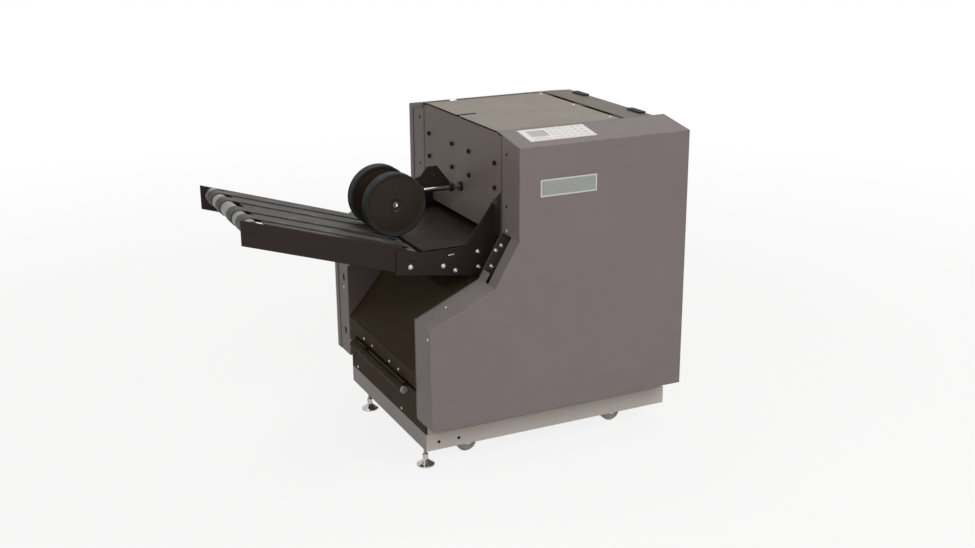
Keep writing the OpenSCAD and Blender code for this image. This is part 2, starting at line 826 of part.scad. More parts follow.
module conveyor_belts() color("#33312f") place() {
    for (y = belt_places) prism_y(y - belt_w / 2, y + belt_w / 2) difference() {
        belt_loop(belt_out);
        belt_loop(belt_in);
    }
}

// Filled outline of a belt round both conveyor rollers
module belt_loop(r) {
    hull() for (at = [drive_at, tail_at]) translate(at) circle(r = r);
}

// Roller with a shaft that runs in the rails
module conveyor_roller(at, shaft_half) {
    body_half = rail_in - 7;
    bar_y(at, roller_r, -body_half, body_half);
    bar_y(at, axle_r, -shaft_half, shaft_half);
}

module drive_roller() color("#8f8b87") place() conveyor_roller(drive_at, gusset_out);
module tail_roller() color("#8f8b87") place() conveyor_roller(tail_at, rail_out);

module conveyor_motor() color("#4a4846") place() {
    bar_y(drive_at, 24, gusset_out + slip_gap, frame_in - 6);
    translate([drive_at[0], gusset_out, drive_at[1]]) {
        block([-26, 0, -40], [26, 8, -18]);
        block([-26, slip_gap, -26], [26, 14, 14]);
    }
}

// Press wheels

module slide_rod() color("#d9d9d9") place() {
    bar_x(plate_x - rod_len, plate_x + 12, 0, rod_z, rod_r);
    bar_x(plate_x - 8, plate_x, 0, rod_z, rod_r + 6);
    bar_x(plate_x + sheet, plate_x + sheet + 8, 0, rod_z, rod_r + 5);
}

module wheel_carriage() color("#221f1e") place() {
    ring_r = rod_r + 5;
    back = carriage_y + carriage_t;
    difference() {
        union() {
            prism_y(carriage_y, back) polygon([[carriage_x[0], rod_z - 8], [carriage_x[1], rod_z - 8],
                [carriage_x[1], rod_z + 10], pivot_at + [11, 28], pivot_at + [-19, 28],
                [carriage_x[0], rod_z + 16]]);
            for (x = [carriage_x[0], carriage_x[1] - 14]) {
                bar_x(x, x + 14, 0, rod_z, ring_r);
                block([x, 0, rod_z - 8], [x + 14, carriage_y, rod_z + 8]);
            }
        }
        bar_x(carriage_x[0] - past, carriage_x[1] + past, 0, rod_z, rod_r + run_gap);
    }
    bar_y(pivot_at, pivot_r + 2, carriage_y - 4, carriage_y);
    bar_y(pivot_at, pivot_r, carriage_y, arm_y + arm_t + slip_gap);
    bar_y(pivot_at, pivot_r + 4, arm_y + arm_t + slip_gap, arm_y + arm_t + 4);
}

module wheel_arm() color("#2a2625") place() {
    along_arm = unit(wheel_at - pivot_at);
    across = left_of(along_arm);
    hub_half = (wheel_gap - wheel_w) / 2 - 2;
    difference() {
        union() {
            prism_y(arm_y, arm_y + arm_t) polygon([pivot_at + 14 * across, pivot_at - 14 * across,
                wheel_at - 11 * across, wheel_at + 11 * across]);
            bar_y(pivot_at, 14, arm_y, arm_y + arm_t);
            bar_y(wheel_at, 12, -hub_half, hub_half);
        }
        bar_y(pivot_at, pivot_r + run_gap, arm_y - past, arm_y + arm_t + past);
        bar_y(wheel_at, axle_r + run_gap, -hub_half - past, hub_half + past);
    }
}

// Dished disc of one wheel, drawn about the Z axis
module wheel_disc() {
    rim = wheel_r - tyre_t;
    face = wheel_w / 2;
    rotate_extrude() polygon([[0, -face + 3], [14, -face + 3], [18, -face + 1],
        [rim - 8, -face + 2.5], [rim, -face + 1], [rim, face - 1], [rim - 8, face - 2.5],
        [18, face - 1], [14, face - 3], [0, face - 3]]);
}

module at_wheels() {
    for (side = [-1, 1]) translate([wheel_at[0], side * wheel_gap / 2, wheel_at[1]])
        rotate([90, 0, 0]) children();
}

module press_wheels() color("#2a2321") place() {
    shaft_half = (wheel_gap + wheel_w) / 2 + 5;
    at_wheels() wheel_disc();
    bar_y(wheel_at, axle_r, -shaft_half, shaft_half);
}

module wheel_tyres() color("#3c413e") place() at_wheels() {
    face = wheel_w / 2;
    rotate_extrude() polygon([[wheel_r - tyre_t, -face], [wheel_r - 2, -face], [wheel_r, 2 - face],
        [wheel_r, face - 2], [wheel_r - 2, face], [wheel_r - tyre_t, face]]);
}

// Stitch, fold and trim unit

module sheet_guides() color("#a9a6a2") place() {
    for (x = [guide_front_x, guide_back_x]) translate([x, 0, 0]) difference() {
        block([0, -frame_in, guide_low], [guide_t, frame_in, guide_top]);
        block([-past, -guide_slot_half, path_z - 8], [guide_t + past, guide_slot_half, path_z + 8]);
        for (y = stitch_places) block([-past, y - 18, stitch_z - 8], [guide_t + past, y + 18, stitch_z + 8]);
    }
    block([guide_back_x + guide_t, -frame_in, guide_top - guide_t], [end_plate_x, frame_in, guide_top]);
}

module stitch_unit() color("#6f747a") place() {
    beam_x = guide_back_x + 52;
    nose_x = guide_back_x + guide_t + 2;
    block([beam_x, -frame_in, stitch_z - 15], [beam_x + 26, frame_in, stitch_z + 15]);
    for (y = stitch_places) translate([0, y, 0]) {
        prism_y(-17, 17) polygon([[nose_x, stitch_z - 7], [beam_x - 30, stitch_z - 24],
            [beam_x, stitch_z - 24], [beam_x, stitch_z + 24], [beam_x - 30, stitch_z + 24],
            [nose_x, stitch_z + 7]]);
        block([guide_front_x - 8, -15, stitch_z - 10], [guide_front_x, 15, stitch_z + 10]);
    }
    block([guide_front_x - 26, -frame_in, stitch_z - 14], [guide_front_x - 8, frame_in, stitch_z + 14]);
}

// Outline of a spur gear with straight-sided teeth and running backlash
module gear_outline(phase) {
    step = 360 / gear_teeth;
    root = gear_pitch - 2.2;
    root_half = 0.30 * step * PI / 180 * root;
    tip_half = 0.10 * step * PI / 180 * gear_tip;
    circle(r = root + 0.2);
    for (i = [0:gear_teeth - 1]) rotate(phase + i * step)
        polygon([[root - 1, -root_half], [gear_tip, -tip_half], [gear_tip, tip_half], [root - 1, root_half]]);
}

// Fold roller with its gear at the rear end
module fold_roller(at, phase, shaft_end) {
    bar_y(at, fold_r, -roller_half, roller_half);
    bar_y(at, shaft_r, -frame_out, shaft_end);
    translate([at[0], 0, at[1]]) prism_y(gear_y, gear_y + gear_w) gear_outline(phase);
}

module fold_roller_upper() color("#9b9a98") place() {
    fold_roller(fold_axes[0], 90, frame_out);
}

module fold_roller_lower() color("#9b9a98") place() {
    at = fold_axes[1];
    fold_roller(at, 90 + 180 / gear_teeth, pulley_y + pulley_w + 4);
    bar_y(at, fold_pulley_r, pulley_y, pulley_y + pulley_w);
    for (y = [pulley_y - 3, pulley_y + pulley_w]) bar_y(at, fold_pulley_r + 4, y, y + 3);
}

module knife_rods() color("#cfcfcf") place() {
    for (y = [-knife_rod_y, knife_rod_y]) bar_x(guide_back_x + guide_t, knife_post_x, y, path_z, shaft_r);
    block([knife_post_x, -frame_in, path_z - 14], [knife_post_x + 12, frame_in, path_z + 14]);
}

module fold_knife() color("#c4c7c9") place() {
    bar_half = knife_rod_y + 16;
    bar_end = knife_bar_x + knife_bar_w;
    block([knife_x, -knife_half, path_z - knife_t / 2], [knife_bar_x + 1, knife_half, path_z + knife_t / 2]);
    difference() {
        block([knife_bar_x, -bar_half, path_z - 14], [bar_end, bar_half, path_z + 14]);
        for (y = [-knife_rod_y, knife_rod_y])
            bar_x(knife_bar_x - past, bar_end + past, y, path_z, shaft_r + run_gap);
    }
}

// Fixed anvil, posts and top beam of the trimmer, in one plane across the machine
module trim_frame() color("#5d6064") place() {
    left = trim_x - trim_frame_t;
    beam_z = blade_top + 20;
    block([left, -frame_in, path_z - 24], [trim_x, frame_in, path_z - 1]);
    both_sides() block([left, -frame_in, path_z - 24], [trim_x, trim_post_w - frame_in, beam_z + 30]);
    block([left, -frame_in, beam_z], [trim_x, frame_in, beam_z + 30]);
}

module trim_blade() color("#c8ccd0") place() {
    left = trim_x + slip_gap;
    prism_x(left, left + 5) polygon([[-blade_half, blade_low], [blade_half, blade_low + 15],
        [blade_half, blade_top], [-blade_half, blade_top]]);
    block([left + 5, -blade_half, blade_top - 24], [left + 17, blade_half, blade_top]);
}

// Drive

module main_motor() color("#54575a") place() {
    difference() {
        union() {
            bar_y(motor_at, 52, 80, frame_in - 10);
            bar_y(motor_at, 62, frame_in - 10, frame_in);
            block([motor_at[0] - 40, 100, pan_top], [motor_at[0] + 40, frame_in - 35, motor_at[1] - 30]);
            block([motor_at[0] - 28, 110, motor_at[1] + 30], [motor_at[0] + 28, 190, motor_at[1] + 66]);
        }
        bar_y(motor_at, motor_shaft_r + run_gap, frame_in - 10, frame_in + past);
    }
}

module motor_pulley() color("#8d8d8d") place() {
    bar_y(motor_at, motor_shaft_r, frame_in - 9, pulley_y + pulley_w + 4);
    bar_y(motor_at, motor_pulley_r, pulley_y, pulley_y + pulley_w);
    for (y = [pulley_y - 3, pulley_y + pulley_w]) bar_y(motor_at, motor_pulley_r + 4, y, y + 3);
}

module drive_belt() color("#262626") place() prism_y(pulley_y + 1, pulley_y + pulley_w - 1) difference() {
    drive_loop(0.35 + belt_t);
    drive_loop(0.35);
}

// Filled outline of the drive belt, grown by a distance from the pulleys
module drive_loop(grow) {
    hull() {
        translate(fold_axes[1]) circle(r = fold_pulley_r + grow);
        translate(motor_at) circle(r = motor_pulley_r + grow);
    }
}

// Sheet-metal box of the controls and the power supply, on the floor pan
module control_box() color("#6f7478") place() {
    low = [frame_end - 235, 15 - frame_in, pan_top];
    high = low + [175, 140, 190];
    wall = [sheet, sheet, sheet];
    difference() {
        block(low, high);
        block(low + wall, high - wall);
        for (i = [0:5]) block([low[0] + 20, high[1] - sheet - past, pan_top + 50 + 20 * i],
            [high[0] - 20, high[1] + past, pan_top + 57 + 20 * i]);
    }
}

base_frame();
floor_pan();
castor_plates();
rigid_castor_forks();
castor_fork_front();
castor_fork_rear();
castor_wheel_1();
castor_wheel_2();
castor_wheel_3();
castor_wheel_4();
levelling_foot_front();
levelling_foot_rear();
side_frame_operator();
side_frame_rear();
tie_bars();
top_rails();
operator_cover();
rear_cover();
delivery_end_plate();
infeed_end_plate();
infeed_top_panel();
edge_blocks();
top_cover();
lid_hinges();
lid_hinge_leaves();
control_panel();
panel_display();
panel_keys();
blank_badge();
machine_screws();
waste_chute();
chute_lip();
plinth_board();
front_bar();
bar_caps();
conveyor_rails();
gusset_plates();
conveyor_bed();
transfer_tray();
conveyor_belts();
drive_roller();
tail_roller();
conveyor_motor();
slide_rod();
wheel_carriage();
wheel_arm();
press_wheels();
wheel_tyres();
sheet_guides();
stitch_unit();
fold_roller_upper();
fold_roller_lower();
fold_knife();
knife_rods();
trim_frame();
trim_blade();
main_motor();
drive_belt();
motor_pulley();
control_box();
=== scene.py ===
"""Looks of a floor-standing booklet maker: finishes, small modelled pieces, studio and camera."""

import json
import logging
import math
from dataclasses import dataclass
from enum import Enum
from typing import Any, Callable, Iterable, Iterator, Mapping, Sequence

import bmesh
import bpy
from mathutils import Matrix, Vector

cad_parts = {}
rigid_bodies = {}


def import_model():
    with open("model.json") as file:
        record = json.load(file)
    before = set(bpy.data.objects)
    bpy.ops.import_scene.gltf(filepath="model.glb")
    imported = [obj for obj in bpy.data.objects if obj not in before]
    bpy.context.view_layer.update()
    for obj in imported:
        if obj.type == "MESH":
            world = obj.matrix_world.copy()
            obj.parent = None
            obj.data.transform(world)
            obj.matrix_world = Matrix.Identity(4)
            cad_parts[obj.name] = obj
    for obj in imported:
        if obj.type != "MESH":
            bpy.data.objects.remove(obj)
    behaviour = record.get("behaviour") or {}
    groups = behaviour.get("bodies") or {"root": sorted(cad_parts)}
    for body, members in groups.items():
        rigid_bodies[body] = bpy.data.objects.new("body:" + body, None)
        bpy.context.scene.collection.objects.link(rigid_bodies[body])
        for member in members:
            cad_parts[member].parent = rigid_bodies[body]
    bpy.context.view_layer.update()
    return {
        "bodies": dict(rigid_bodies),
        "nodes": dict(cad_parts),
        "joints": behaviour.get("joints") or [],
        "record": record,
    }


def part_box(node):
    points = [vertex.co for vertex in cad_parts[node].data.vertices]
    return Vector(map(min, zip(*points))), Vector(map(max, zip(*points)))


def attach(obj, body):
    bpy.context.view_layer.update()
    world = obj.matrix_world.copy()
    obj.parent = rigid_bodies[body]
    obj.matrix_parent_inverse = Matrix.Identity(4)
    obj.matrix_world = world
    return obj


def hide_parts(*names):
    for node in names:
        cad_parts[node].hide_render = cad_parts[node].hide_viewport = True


LOG = logging.getLogger("booklet_maker")

Colour = tuple[float, float, float]
Point = tuple[float, float]
Box = tuple[Vector, Vector]
Names = tuple[str, ...]
Solid = bmesh.types.BMesh
Mesh = bpy.types.Mesh
Material = bpy.types.Material
Socket = bpy.types.NodeSocket

MM = 0.001
# Points of a mesh that lie closer than this are one
WELD = 1e-6
# How far a small piece reaches into what it stands on
SINK = 0.2 * MM
# Rounding of small pieces' edges
ROUND = 0.4 * MM
# Run and rise of the covers' sloped top edge
SLOPE: Point = (128 * MM, 22 * MM)
# Lays a prism that is drawn in Y and Z along X
ALONG_X = Matrix(((0, 0, 1, 0), (1, 0, 0, 0), (0, 1, 0, 0), (0, 0, 0, 1)))
BASE_COLOUR: Colour = (0.545, 0.49, 0.455)


# Shader nodes


Operator = Callable[["Value", "Value | float"], "Value"]


def operators(operation: str) -> tuple[Operator, Operator]:
    """An operator of Value and its reflected form.

    Args:
        operation: the operation of the Math node that they add.

    Returns:
        The methods for a value on the left and for one on the right.
    """

    def plain(self: "Value", other: "Value | float") -> "Value":
        """The operation with the value on the left."""
        return self._math(operation, self, other)

    def reflected(self: "Value", other: float) -> "Value":
        """The operation with the value on the right, as in 1 - mask."""
        return self._math(operation, other, self)

    return plain, reflected


class Value:
    """A number socket of a node tree; arithmetic on it adds Math nodes."""

    def __init__(self, socket: Socket) -> None:
        """Wraps a socket."""
        self.socket = socket

    def _math(self, operation: str, *terms: "Value | float") -> "Value":
        """Adds one Math node.

        Args:
            operation: the Math node's operation.
            terms: what its inputs take, in order.

        Returns:
            The node's result.
        """
        node = self.socket.id_data.nodes.new("ShaderNodeMath")
        node.operation = operation
        for slot, term in zip(node.inputs, terms):
            connect(slot, term)
        return Value(node.outputs[0])

    __add__, __radd__ = operators("ADD")
    __sub__, __rsub__ = operators("SUBTRACT")
    __mul__, __rmul__ = operators("MULTIPLY")
    __truediv__, __rtruediv__ = operators("DIVIDE")
    __pow__, __rpow__ = operators("POWER")

    def sine(self) -> "Value":
        """Sine of an angle in radians."""
        return self._math("SINE", self)

    def cycle(self) -> "Value":
        """Part after the decimal point, a sawtooth from 0 to 1."""
        return self._math("FRACT", self)

    def size(self) -> "Value":
        """Absolute value."""
        return self._math("ABSOLUTE", self)

    def capped(self) -> "Value":
        """The value, or 1 where it is more."""
        return self._math("MINIMUM", self, 1.0)


Feed = Value | Socket | float | Sequence[float]


def connect(slot: Socket, feed: Feed) -> None:
    """Gives a node's input its link or its value.

    Args:
        slot: the input.
        feed: what it takes.
    """
    source = feed.socket if isinstance(feed, Value) else feed
    if isinstance(source, Socket):
        slot.id_data.links.new(source, slot)
    elif slot.type == "RGBA":
        slot.default_value = (*source, 1.0)
    else:
        slot.default_value = source


def tint(colour: Colour, factor: float) -> Colour:
    """A colour made lighter or darker."""
    return tuple(min(1.0, part * factor) for part in colour)


class Tree:
    """Node tree that is built node by node."""

    def __init__(self, owner: Material | bpy.types.World) -> None:
        """Empties the owner's tree.

        Args:
            owner: what the tree belongs to.
        """
        owner.use_nodes = True
        self.tree = owner.node_tree
        self.tree.nodes.clear()

    def node(
        self,
        kind: str,
        settings: Mapping[str, Any] | None = None,
        sockets: Mapping[str | int, Feed] | None = None,
    ) -> bpy.types.Node:
        """Adds a node of any kind.

        Args:
            kind: the node's type.
            settings: its properties, set first.
            sockets: values or links of its inputs, by name or number.

        Returns:
            The node.
        """
        node = self.tree.nodes.new(kind)
        for key, setting in (settings or {}).items():
            setattr(node, key, setting)
        for key, feed in (sockets or {}).items():
            connect(node.inputs[key], feed)
        return node

    def blend(self, factor: Feed, first: Feed, second: Feed) -> Socket:
        """Colour between two others, by a factor from 0 to 1."""
        # A Mix node keeps its sockets for colours behind those for numbers and vectors
        return self.node("ShaderNodeMix", {"data_type": "RGBA"}, {0: factor, 6: first, 7: second}).outputs[2]

    def mottle(self, factor: Feed, colour: Colour, first: float, second: float) -> Socket:
        """Colour between two shades of one, given as factors of its lightness."""
        return self.blend(factor, tint(colour, first), tint(colour, second))

    def shown(self) -> Value:
        """Mask of what the camera looks at.

        Returns:
            1 where it looks, also by way of a mirror or a window, and 0 where a surface is lit.
        """
        path = self.node("ShaderNodeLightPath").outputs
        rays = [Value(path[f"Is {kind} Ray"]) for kind in ("Camera", "Glossy", "Transmission")]
        return sum(rays[1:], rays[0]).capped()


class Shade(Tree):
    """Node tree of one material, from the object's coordinates to its surface."""

    def __init__(self, name: str) -> None:
        """Starts an empty material.

        Args:
            name: the material's name.
        """
        self.material = bpy.data.materials.new(name)
        super().__init__(self.material)
        coordinates = self.node("ShaderNodeTexCoord")
        self.place = coordinates.outputs["Object"]
        self.normal = coordinates.outputs["Normal"]

    def noise(
        self,
        scale: float,
        detail: float = 2.0,
        stretch: tuple[float, float, float] = (1.0, 1.0, 1.0),
    ) -> Value:
        """Noise between 0 and 1 in the object's coordinates.

        Args:
            scale: cells per metre.
            detail: octaves added.
            stretch: factors along the three axes, for streaks.

        Returns:
            The noise.
        """
        mapping = self.node("ShaderNodeMapping", None, {"Vector": self.place, "Scale": stretch})
        sockets = {"Vector": mapping.outputs[0], "Scale": scale, "Detail": detail}
        return Value(self.node("ShaderNodeTexNoise", None, sockets).outputs[0])

    def step(self, value: Value, low: float, high: float) -> Value:
        """Smooth step of a value, from 0 at low to 1 at high."""
        settings = {"interpolation_type": "SMOOTHSTEP", "clamp": True}
        return Value(self.node("ShaderNodeMapRange", settings, {0: value, 1: low, 2: high}).outputs[0])

    def axes(self, source: Socket) -> tuple[Value, Value, Value]:
        """The three parts of a vector socket."""
        x, y, z = self.node("ShaderNodeSeparateXYZ", None, {0: source}).outputs
        return Value(x), Value(y), Value(z)

    def soft_edges(self, radius: float) -> Socket:
        """Normal that rounds sharp edges over a radius in metres."""
        return self.node("ShaderNodeBevel", {"samples": 4}, {"Radius": radius}).outputs[0]

    def edge(self, rounded: Socket) -> Value:
        """Mask of the rounded edges.

        Args:
            rounded: the normal from soft_edges.

        Returns:
            1 on an edge, 0 on a flat face.
        """
        flat = self.node("ShaderNodeNewGeometry").outputs["True Normal"]
        turn = self.node("ShaderNodeVectorMath", {"operation": "DOT_PRODUCT"}, {0: rounded, 1: flat})
        return self.step(1 - Value(turn.outputs["Value"]), 0.02, 0.25)

    def bump(self, height: Value, depth: float, strength: float, over: Socket | None = None) -> Socket:
        """Normal bent by a height.

        Args:
            height: the relief, from 0 to 1.
            depth: its depth in metres.
            strength: how strongly it shows.
            over: the normal that it bends.

        Returns:
            The bent normal's socket.
        """
        sockets: dict[str | int, Feed] = {"Height": height, "Distance": depth, "Strength": strength}
        if over is not None:
            sockets["Normal"] = over
        return self.node("ShaderNodeBump", None, sockets).outputs[0]

    def surface(self, **sockets: Feed) -> Material:
        """Ends the tree in one surface shader.

        Args:
            sockets: its inputs, with _ for a space in their names.

        Returns:
            The finished material.
        """
        named = {key.replace("_", " "): feed for key, feed in sockets.items()}
        shader = self.node("ShaderNodeBsdfPrincipled", None, named)
        self.node("ShaderNodeOutputMaterial", None, {"Surface": shader.outputs[0]})
        return self.material


# Finishes


@dataclass(frozen=True)
class Finish:
    """What every finish has: a name and its main colour."""

    name: str
    colour: Colour

    def material(self) -> Material:
        """Makes the finish's material."""
        raise NotImplementedError


@dataclass(frozen=True)
class PaintedSheet(Finish):
    """Baked paint on sheet metal: fine stipple, cloudy gloss, edges lightened by rubbing and by a painted
    highlight, a little dust on top.
    """

    roughness: float = 0.46
    stipple: float = 1100.0
    stipple_depth: float = 0.05 * MM
    edge_radius: float = 1.1 * MM
    rub_and_highlight: float = 0.35
    rub_and_highlight_tint: float = 2.1
    dust: float = 0.05
    dust_colour: Colour = (0.52, 0.50, 0.47)
    shades: Point = (0.88, 1.12)
    shine: float = 0.14

    def material(self) -> Material:
        """Makes the paint's material.

        Returns:
            The material.
        """
        shade = Shade(self.name)
        drift = shade.noise(1.7)
        cloud = shade.noise(19.0, 4.0)
        stipple = shade.noise(self.stipple, 1.0)
        wipe = shade.noise(30.0, 3.0, (1.0, 1.0, 0.08))
        rounded = shade.soft_edges(self.edge_radius)
        # Edges lighter all along: partly rubbed wear, partly a painted highlight where the bent edges would
        # catch the light
        rubbed_and_highlit = shade.edge(rounded) * (0.4 + shade.step(cloud, 0.38, 0.66) * 0.6) * self.rub_and_highlight
        upward = shade.step(shade.axes(shade.normal)[2], 0.7, 1.0)
        settled = upward * shade.step(shade.noise(7.0, 5.0), 0.35, 0.75) * self.dust
        patches = 0.5 + (drift - 0.5) * 0.8 + (cloud - 0.5) * 0.35 + (stipple - 0.5) * 0.5
        worn = shade.blend(rubbed_and_highlit, self.coat(shade, patches), tint(self.colour, self.rub_and_highlight_tint))
        dusty = shade.blend(settled, worn, self.dust_colour)
        gloss = self.roughness + (cloud - 0.5) * 0.14 + (wipe - 0.5) * 0.16 + settled * 2.0 - rubbed_and_highlit * 0.25
        relief = shade.bump(stipple * 0.8 + cloud * 0.2, self.stipple_depth, 0.5, rounded)
        return shade.surface(Base_Color=dusty, Roughness=gloss, Specular_IOR_Level=self.shine, Normal=relief)

    def coat(self, shade: Shade, patches: Value) -> Socket:
        """The paint's mottled colour."""
        return shade.mottle(patches, self.colour, *self.shades)


@dataclass(frozen=True)
class PaintWithShadedEnd(PaintedSheet):
    """Baked paint with painted shade: a darker colour on what faces the delivery end, in place of the shade
    that falls there.
    """

    shaded_end_colour: Colour = (0.0, 0.0, 0.0)
    shaded_end_x: float = 0.0
    shaded_end_ramp: float = 0.2 * MM

    def coat(self, shade: Shade, patches: Value) -> Socket:
        """The paint's mottled colour, darker on the delivery end as painted shade.

        Args:
            shade: the material's tree.
            patches: the mix of dark and light patches.

        Returns:
            The colour's socket.
        """
        # Painted shade: the delivery end's darker colour
        end = shade.mottle(patches, self.shaded_end_colour, *self.shades)
        along = shade.step(shade.axes(shade.place)[0], self.shaded_end_x, self.shaded_end_x + self.shaded_end_ramp)
        return shade.blend(along, end, super().coat(shade, patches))


@dataclass(frozen=True)
class PlatedSteel(Finish):
    """Bare, ground or plated steel with lay marks along one axis and blotchy gloss."""

    roughness: float = 0.3
    lay: tuple[float, float, float] = (0.06, 1.0, 1.0)
    lay_scale: float = 900.0
    lay_depth: float = 0.02 * MM
    edge_radius: float = 0.5 * MM
    tarnish: Colour = (0.42, 0.39, 0.34)
    tarnish_share: float = 0.25

    def material(self) -> Material:
        """Makes the metal's material.

        Returns:
            The material.
        """
        shade = Shade(self.name)
        lines = shade.noise(self.lay_scale, stretch=self.lay)
        cloud = shade.noise(45.0, 4.0)
        smear = shade.noise(160.0, 3.0)
        rounded = shade.soft_edges(self.edge_radius)
        dull = shade.step(cloud, 0.45, 0.8) * self.tarnish_share
        tone = shade.blend(dull, shade.mottle(lines, self.colour, 0.9, 1.0), self.tarnish)
        gloss = self.roughness + (lines - 0.5) * 0.18 + (smear - 0.5) * 0.12 + dull * 0.3
        relief = shade.bump(lines, self.lay_depth, 0.35, rounded)
        return shade.surface(Base_Color=tone, Metallic=1.0, Roughness=gloss, Normal=relief)


@dataclass(frozen=True)
class ThreadedChrome(Finish):
    """Bright chrome with finger smudges, and a screw thread round each upright stud."""

    studs: tuple[Point, ...] = ()
    stud_radius: float = 5.4 * MM
    stud_margin: float = 0.5 * MM
    thread_low: float = 33 * MM
    thread_start: float = 0.2 * MM
    thread_depth: float = 0.8 * MM
    pitch: float = 1.75 * MM
    grime_colour: Colour = (0.08, 0.07, 0.06)
    edge_radius: float = 0.6 * MM

    def material(self) -> Material:
        """Makes the chrome's material.

        Returns:
            The material.
        """
        shade = Shade(self.name)
        smudge = shade.noise(70.0, 4.0)
        speck = shade.noise(600.0)
        x, y, z = shade.axes(shade.place)
        rounded = shade.soft_edges(self.edge_radius)
        flank = ((z / self.pitch).cycle() - 0.5).size() * 2
        on_stud: Value | float = 0.0
        for stud_x, stud_y in self.studs:
            reach = ((x - stud_x) ** 2 + (y - stud_y) ** 2) ** 0.5
            on_stud = on_stud + (1 - shade.step(reach, self.stud_radius, self.stud_radius + self.stud_margin))
        threaded = shade.step(z, self.thread_low, self.thread_low + self.thread_start) * on_stud
        grime = threaded * (1 - flank) * 0.7
        tone = shade.blend(grime, shade.mottle(smudge, self.colour, 0.9, 1.0), self.grime_colour)
        gloss = 0.09 + shade.step(smudge, 0.5, 0.8) * 0.14 + speck * 0.05 + grime * 0.4
        relief = shade.bump(flank * threaded, self.thread_depth, 1.0, rounded)
        return shade.surface(Base_Color=tone, Metallic=1.0, Roughness=gloss, Normal=relief)


@dataclass(frozen=True)
class MouldedPlastic(Finish):
    """Moulded plastic with a spark-eroded grain."""

    roughness: float = 0.5
    grain: float = 1500.0
    grain_depth: float = 0.06 * MM
    edge_radius: float = 0.7 * MM
    shine: float = 0.2

    def material(self) -> Material:
        """Makes the plastic's material.

        Returns:
            The material.
        """
        shade = Shade(self.name)
        grain = shade.noise(self.grain)
        cloud = shade.noise(25.0, 3.0)
        rounded = shade.soft_edges(self.edge_radius)
        polished = shade.edge(rounded) * 0.3
        tone = shade.mottle(cloud * 0.6 + grain * 0.4, self.colour, 0.8, 1.25)
        worn = shade.blend(polished, tone, tint(self.colour, 1.8))
        gloss = self.roughness + (grain - 0.5) * 0.2 + (cloud - 0.5) * 0.15 - polished * 0.3
        relief = shade.bump(grain, self.grain_depth, 0.6, rounded)
        return shade.surface(Base_Color=worn, Roughness=gloss, Specular_IOR_Level=self.shine, Normal=relief)


@dataclass(frozen=True)
class TurnedDisc(Finish):
    """Dark wheel turned on a lathe: fine rings round its axle and a soft sheen."""

    centre: Point = (0.0, 0.0)
    ring_pitch: float = 1.3 * MM
    ring_depth: float = 0.012 * MM
    band_rings: int = 9
    edge_radius: float = 0.9 * MM
    roughness: float = 0.36
    shine: float = 0.14

    def material(self) -> Material:
        """Makes the wheel's material.

        Returns:
            The material.
        """
        shade = Shade(self.name)
        x, _, z = shade.axes(shade.place)
        reach = ((x - self.centre[0]) ** 2 + (z - self.centre[1]) ** 2) ** 0.5
        cloud = shade.noise(22.0, 4.0)
        wobble = shade.noise(120.0)
        rings = (reach * (math.tau / self.ring_pitch) + wobble * 1.5).sine() * 0.5 + 0.5
        bands = (reach * (math.tau / (self.band_rings * self.ring_pitch)) + cloud * 2.0).sine() * 0.5 + 0.5
        scuff = shade.step(shade.noise(55.0, 5.0), 0.62, 0.8)
        rounded = shade.soft_edges(self.edge_radius)
        tone = shade.mottle(bands * 0.5 + rings * 0.5, self.colour, 0.93, 1.07)
        worn = shade.blend(scuff * 0.12 + shade.edge(rounded) * 0.3, tone, tint(self.colour, 2.6))
        gloss = self.roughness + (rings - 0.5) * 0.05 + (cloud - 0.5) * 0.16 + scuff * 0.12
        relief = shade.bump(rings, self.ring_depth, 0.3, rounded)
        return shade.surface(Base_Color=worn, Roughness=gloss, Specular_IOR_Level=self.shine, Normal=relief)


@dataclass(frozen=True)
class Rubber(Finish):
    """Matt rubber with moulding grain, a polished track and grey paper dust."""

    roughness: float = 0.72
    grain_depth: float = 0.07 * MM
    edge_radius: float = 0.8 * MM
    dust_colour: Colour = (0.30, 0.29, 0.27)
    dust_share: float = 0.22
    shine: float = 0.3

    def material(self) -> Material:
        """Makes the rubber's material.

        Returns:
            The material.
        """
        shade = Shade(self.name)
        grain = shade.noise(1300.0)
        cloud = shade.noise(38.0, 5.0)
        rounded = shade.soft_edges(self.edge_radius)
        dusty = shade.step(cloud, 0.42, 0.75) * self.dust_share + shade.edge(rounded) * 0.12
        tone = shade.blend(dusty, shade.mottle(grain, self.colour, 0.8, 1.2), self.dust_colour)
        gloss = self.roughness + (grain - 0.5) * 0.16 - shade.step(cloud, 0.3, 0.5) * 0.08
        relief = shade.bump(grain, self.grain_depth, 0.6, rounded)
        return shade.surface(Base_Color=tone, Roughness=gloss, Specular_IOR_Level=self.shine, Normal=relief)


@dataclass(frozen=True)
class BeltWeb(Finish):
    """Woven belt web: threads along and across the belt, darker between them."""

    thread: float = 1.1 * MM
    weave_depth: float = 0.12 * MM
    dust_colour: Colour = (0.24, 0.23, 0.21)

    def material(self) -> Material:
        """Makes the web's material.

        Returns:
            The material.
        """
        shade = Shade(self.name)
        x, y, z = shade.axes(shade.place)
        turns = math.tau / self.thread
        warp = (y * turns).sine() * 0.5 + 0.5
        weft = ((x - z * 0.3) * turns).sine() * 0.5 + 0.5
        fuzz = shade.noise(2400.0)
        cloud = shade.noise(26.0, 4.0)
        weave = warp * weft
        dusty = shade.step(cloud, 0.4, 0.8) * 0.3
        tone = shade.mottle(weave * 0.6 + fuzz * 0.4, self.colour, 0.65, 1.35)
        worn = shade.blend(dusty, tone, self.dust_colour)
        relief = shade.bump(weave + fuzz * 0.3, self.weave_depth, 0.7)
        return shade.surface(Base_Color=worn, Roughness=0.66 + (fuzz - 0.5) * 0.2, Normal=relief)


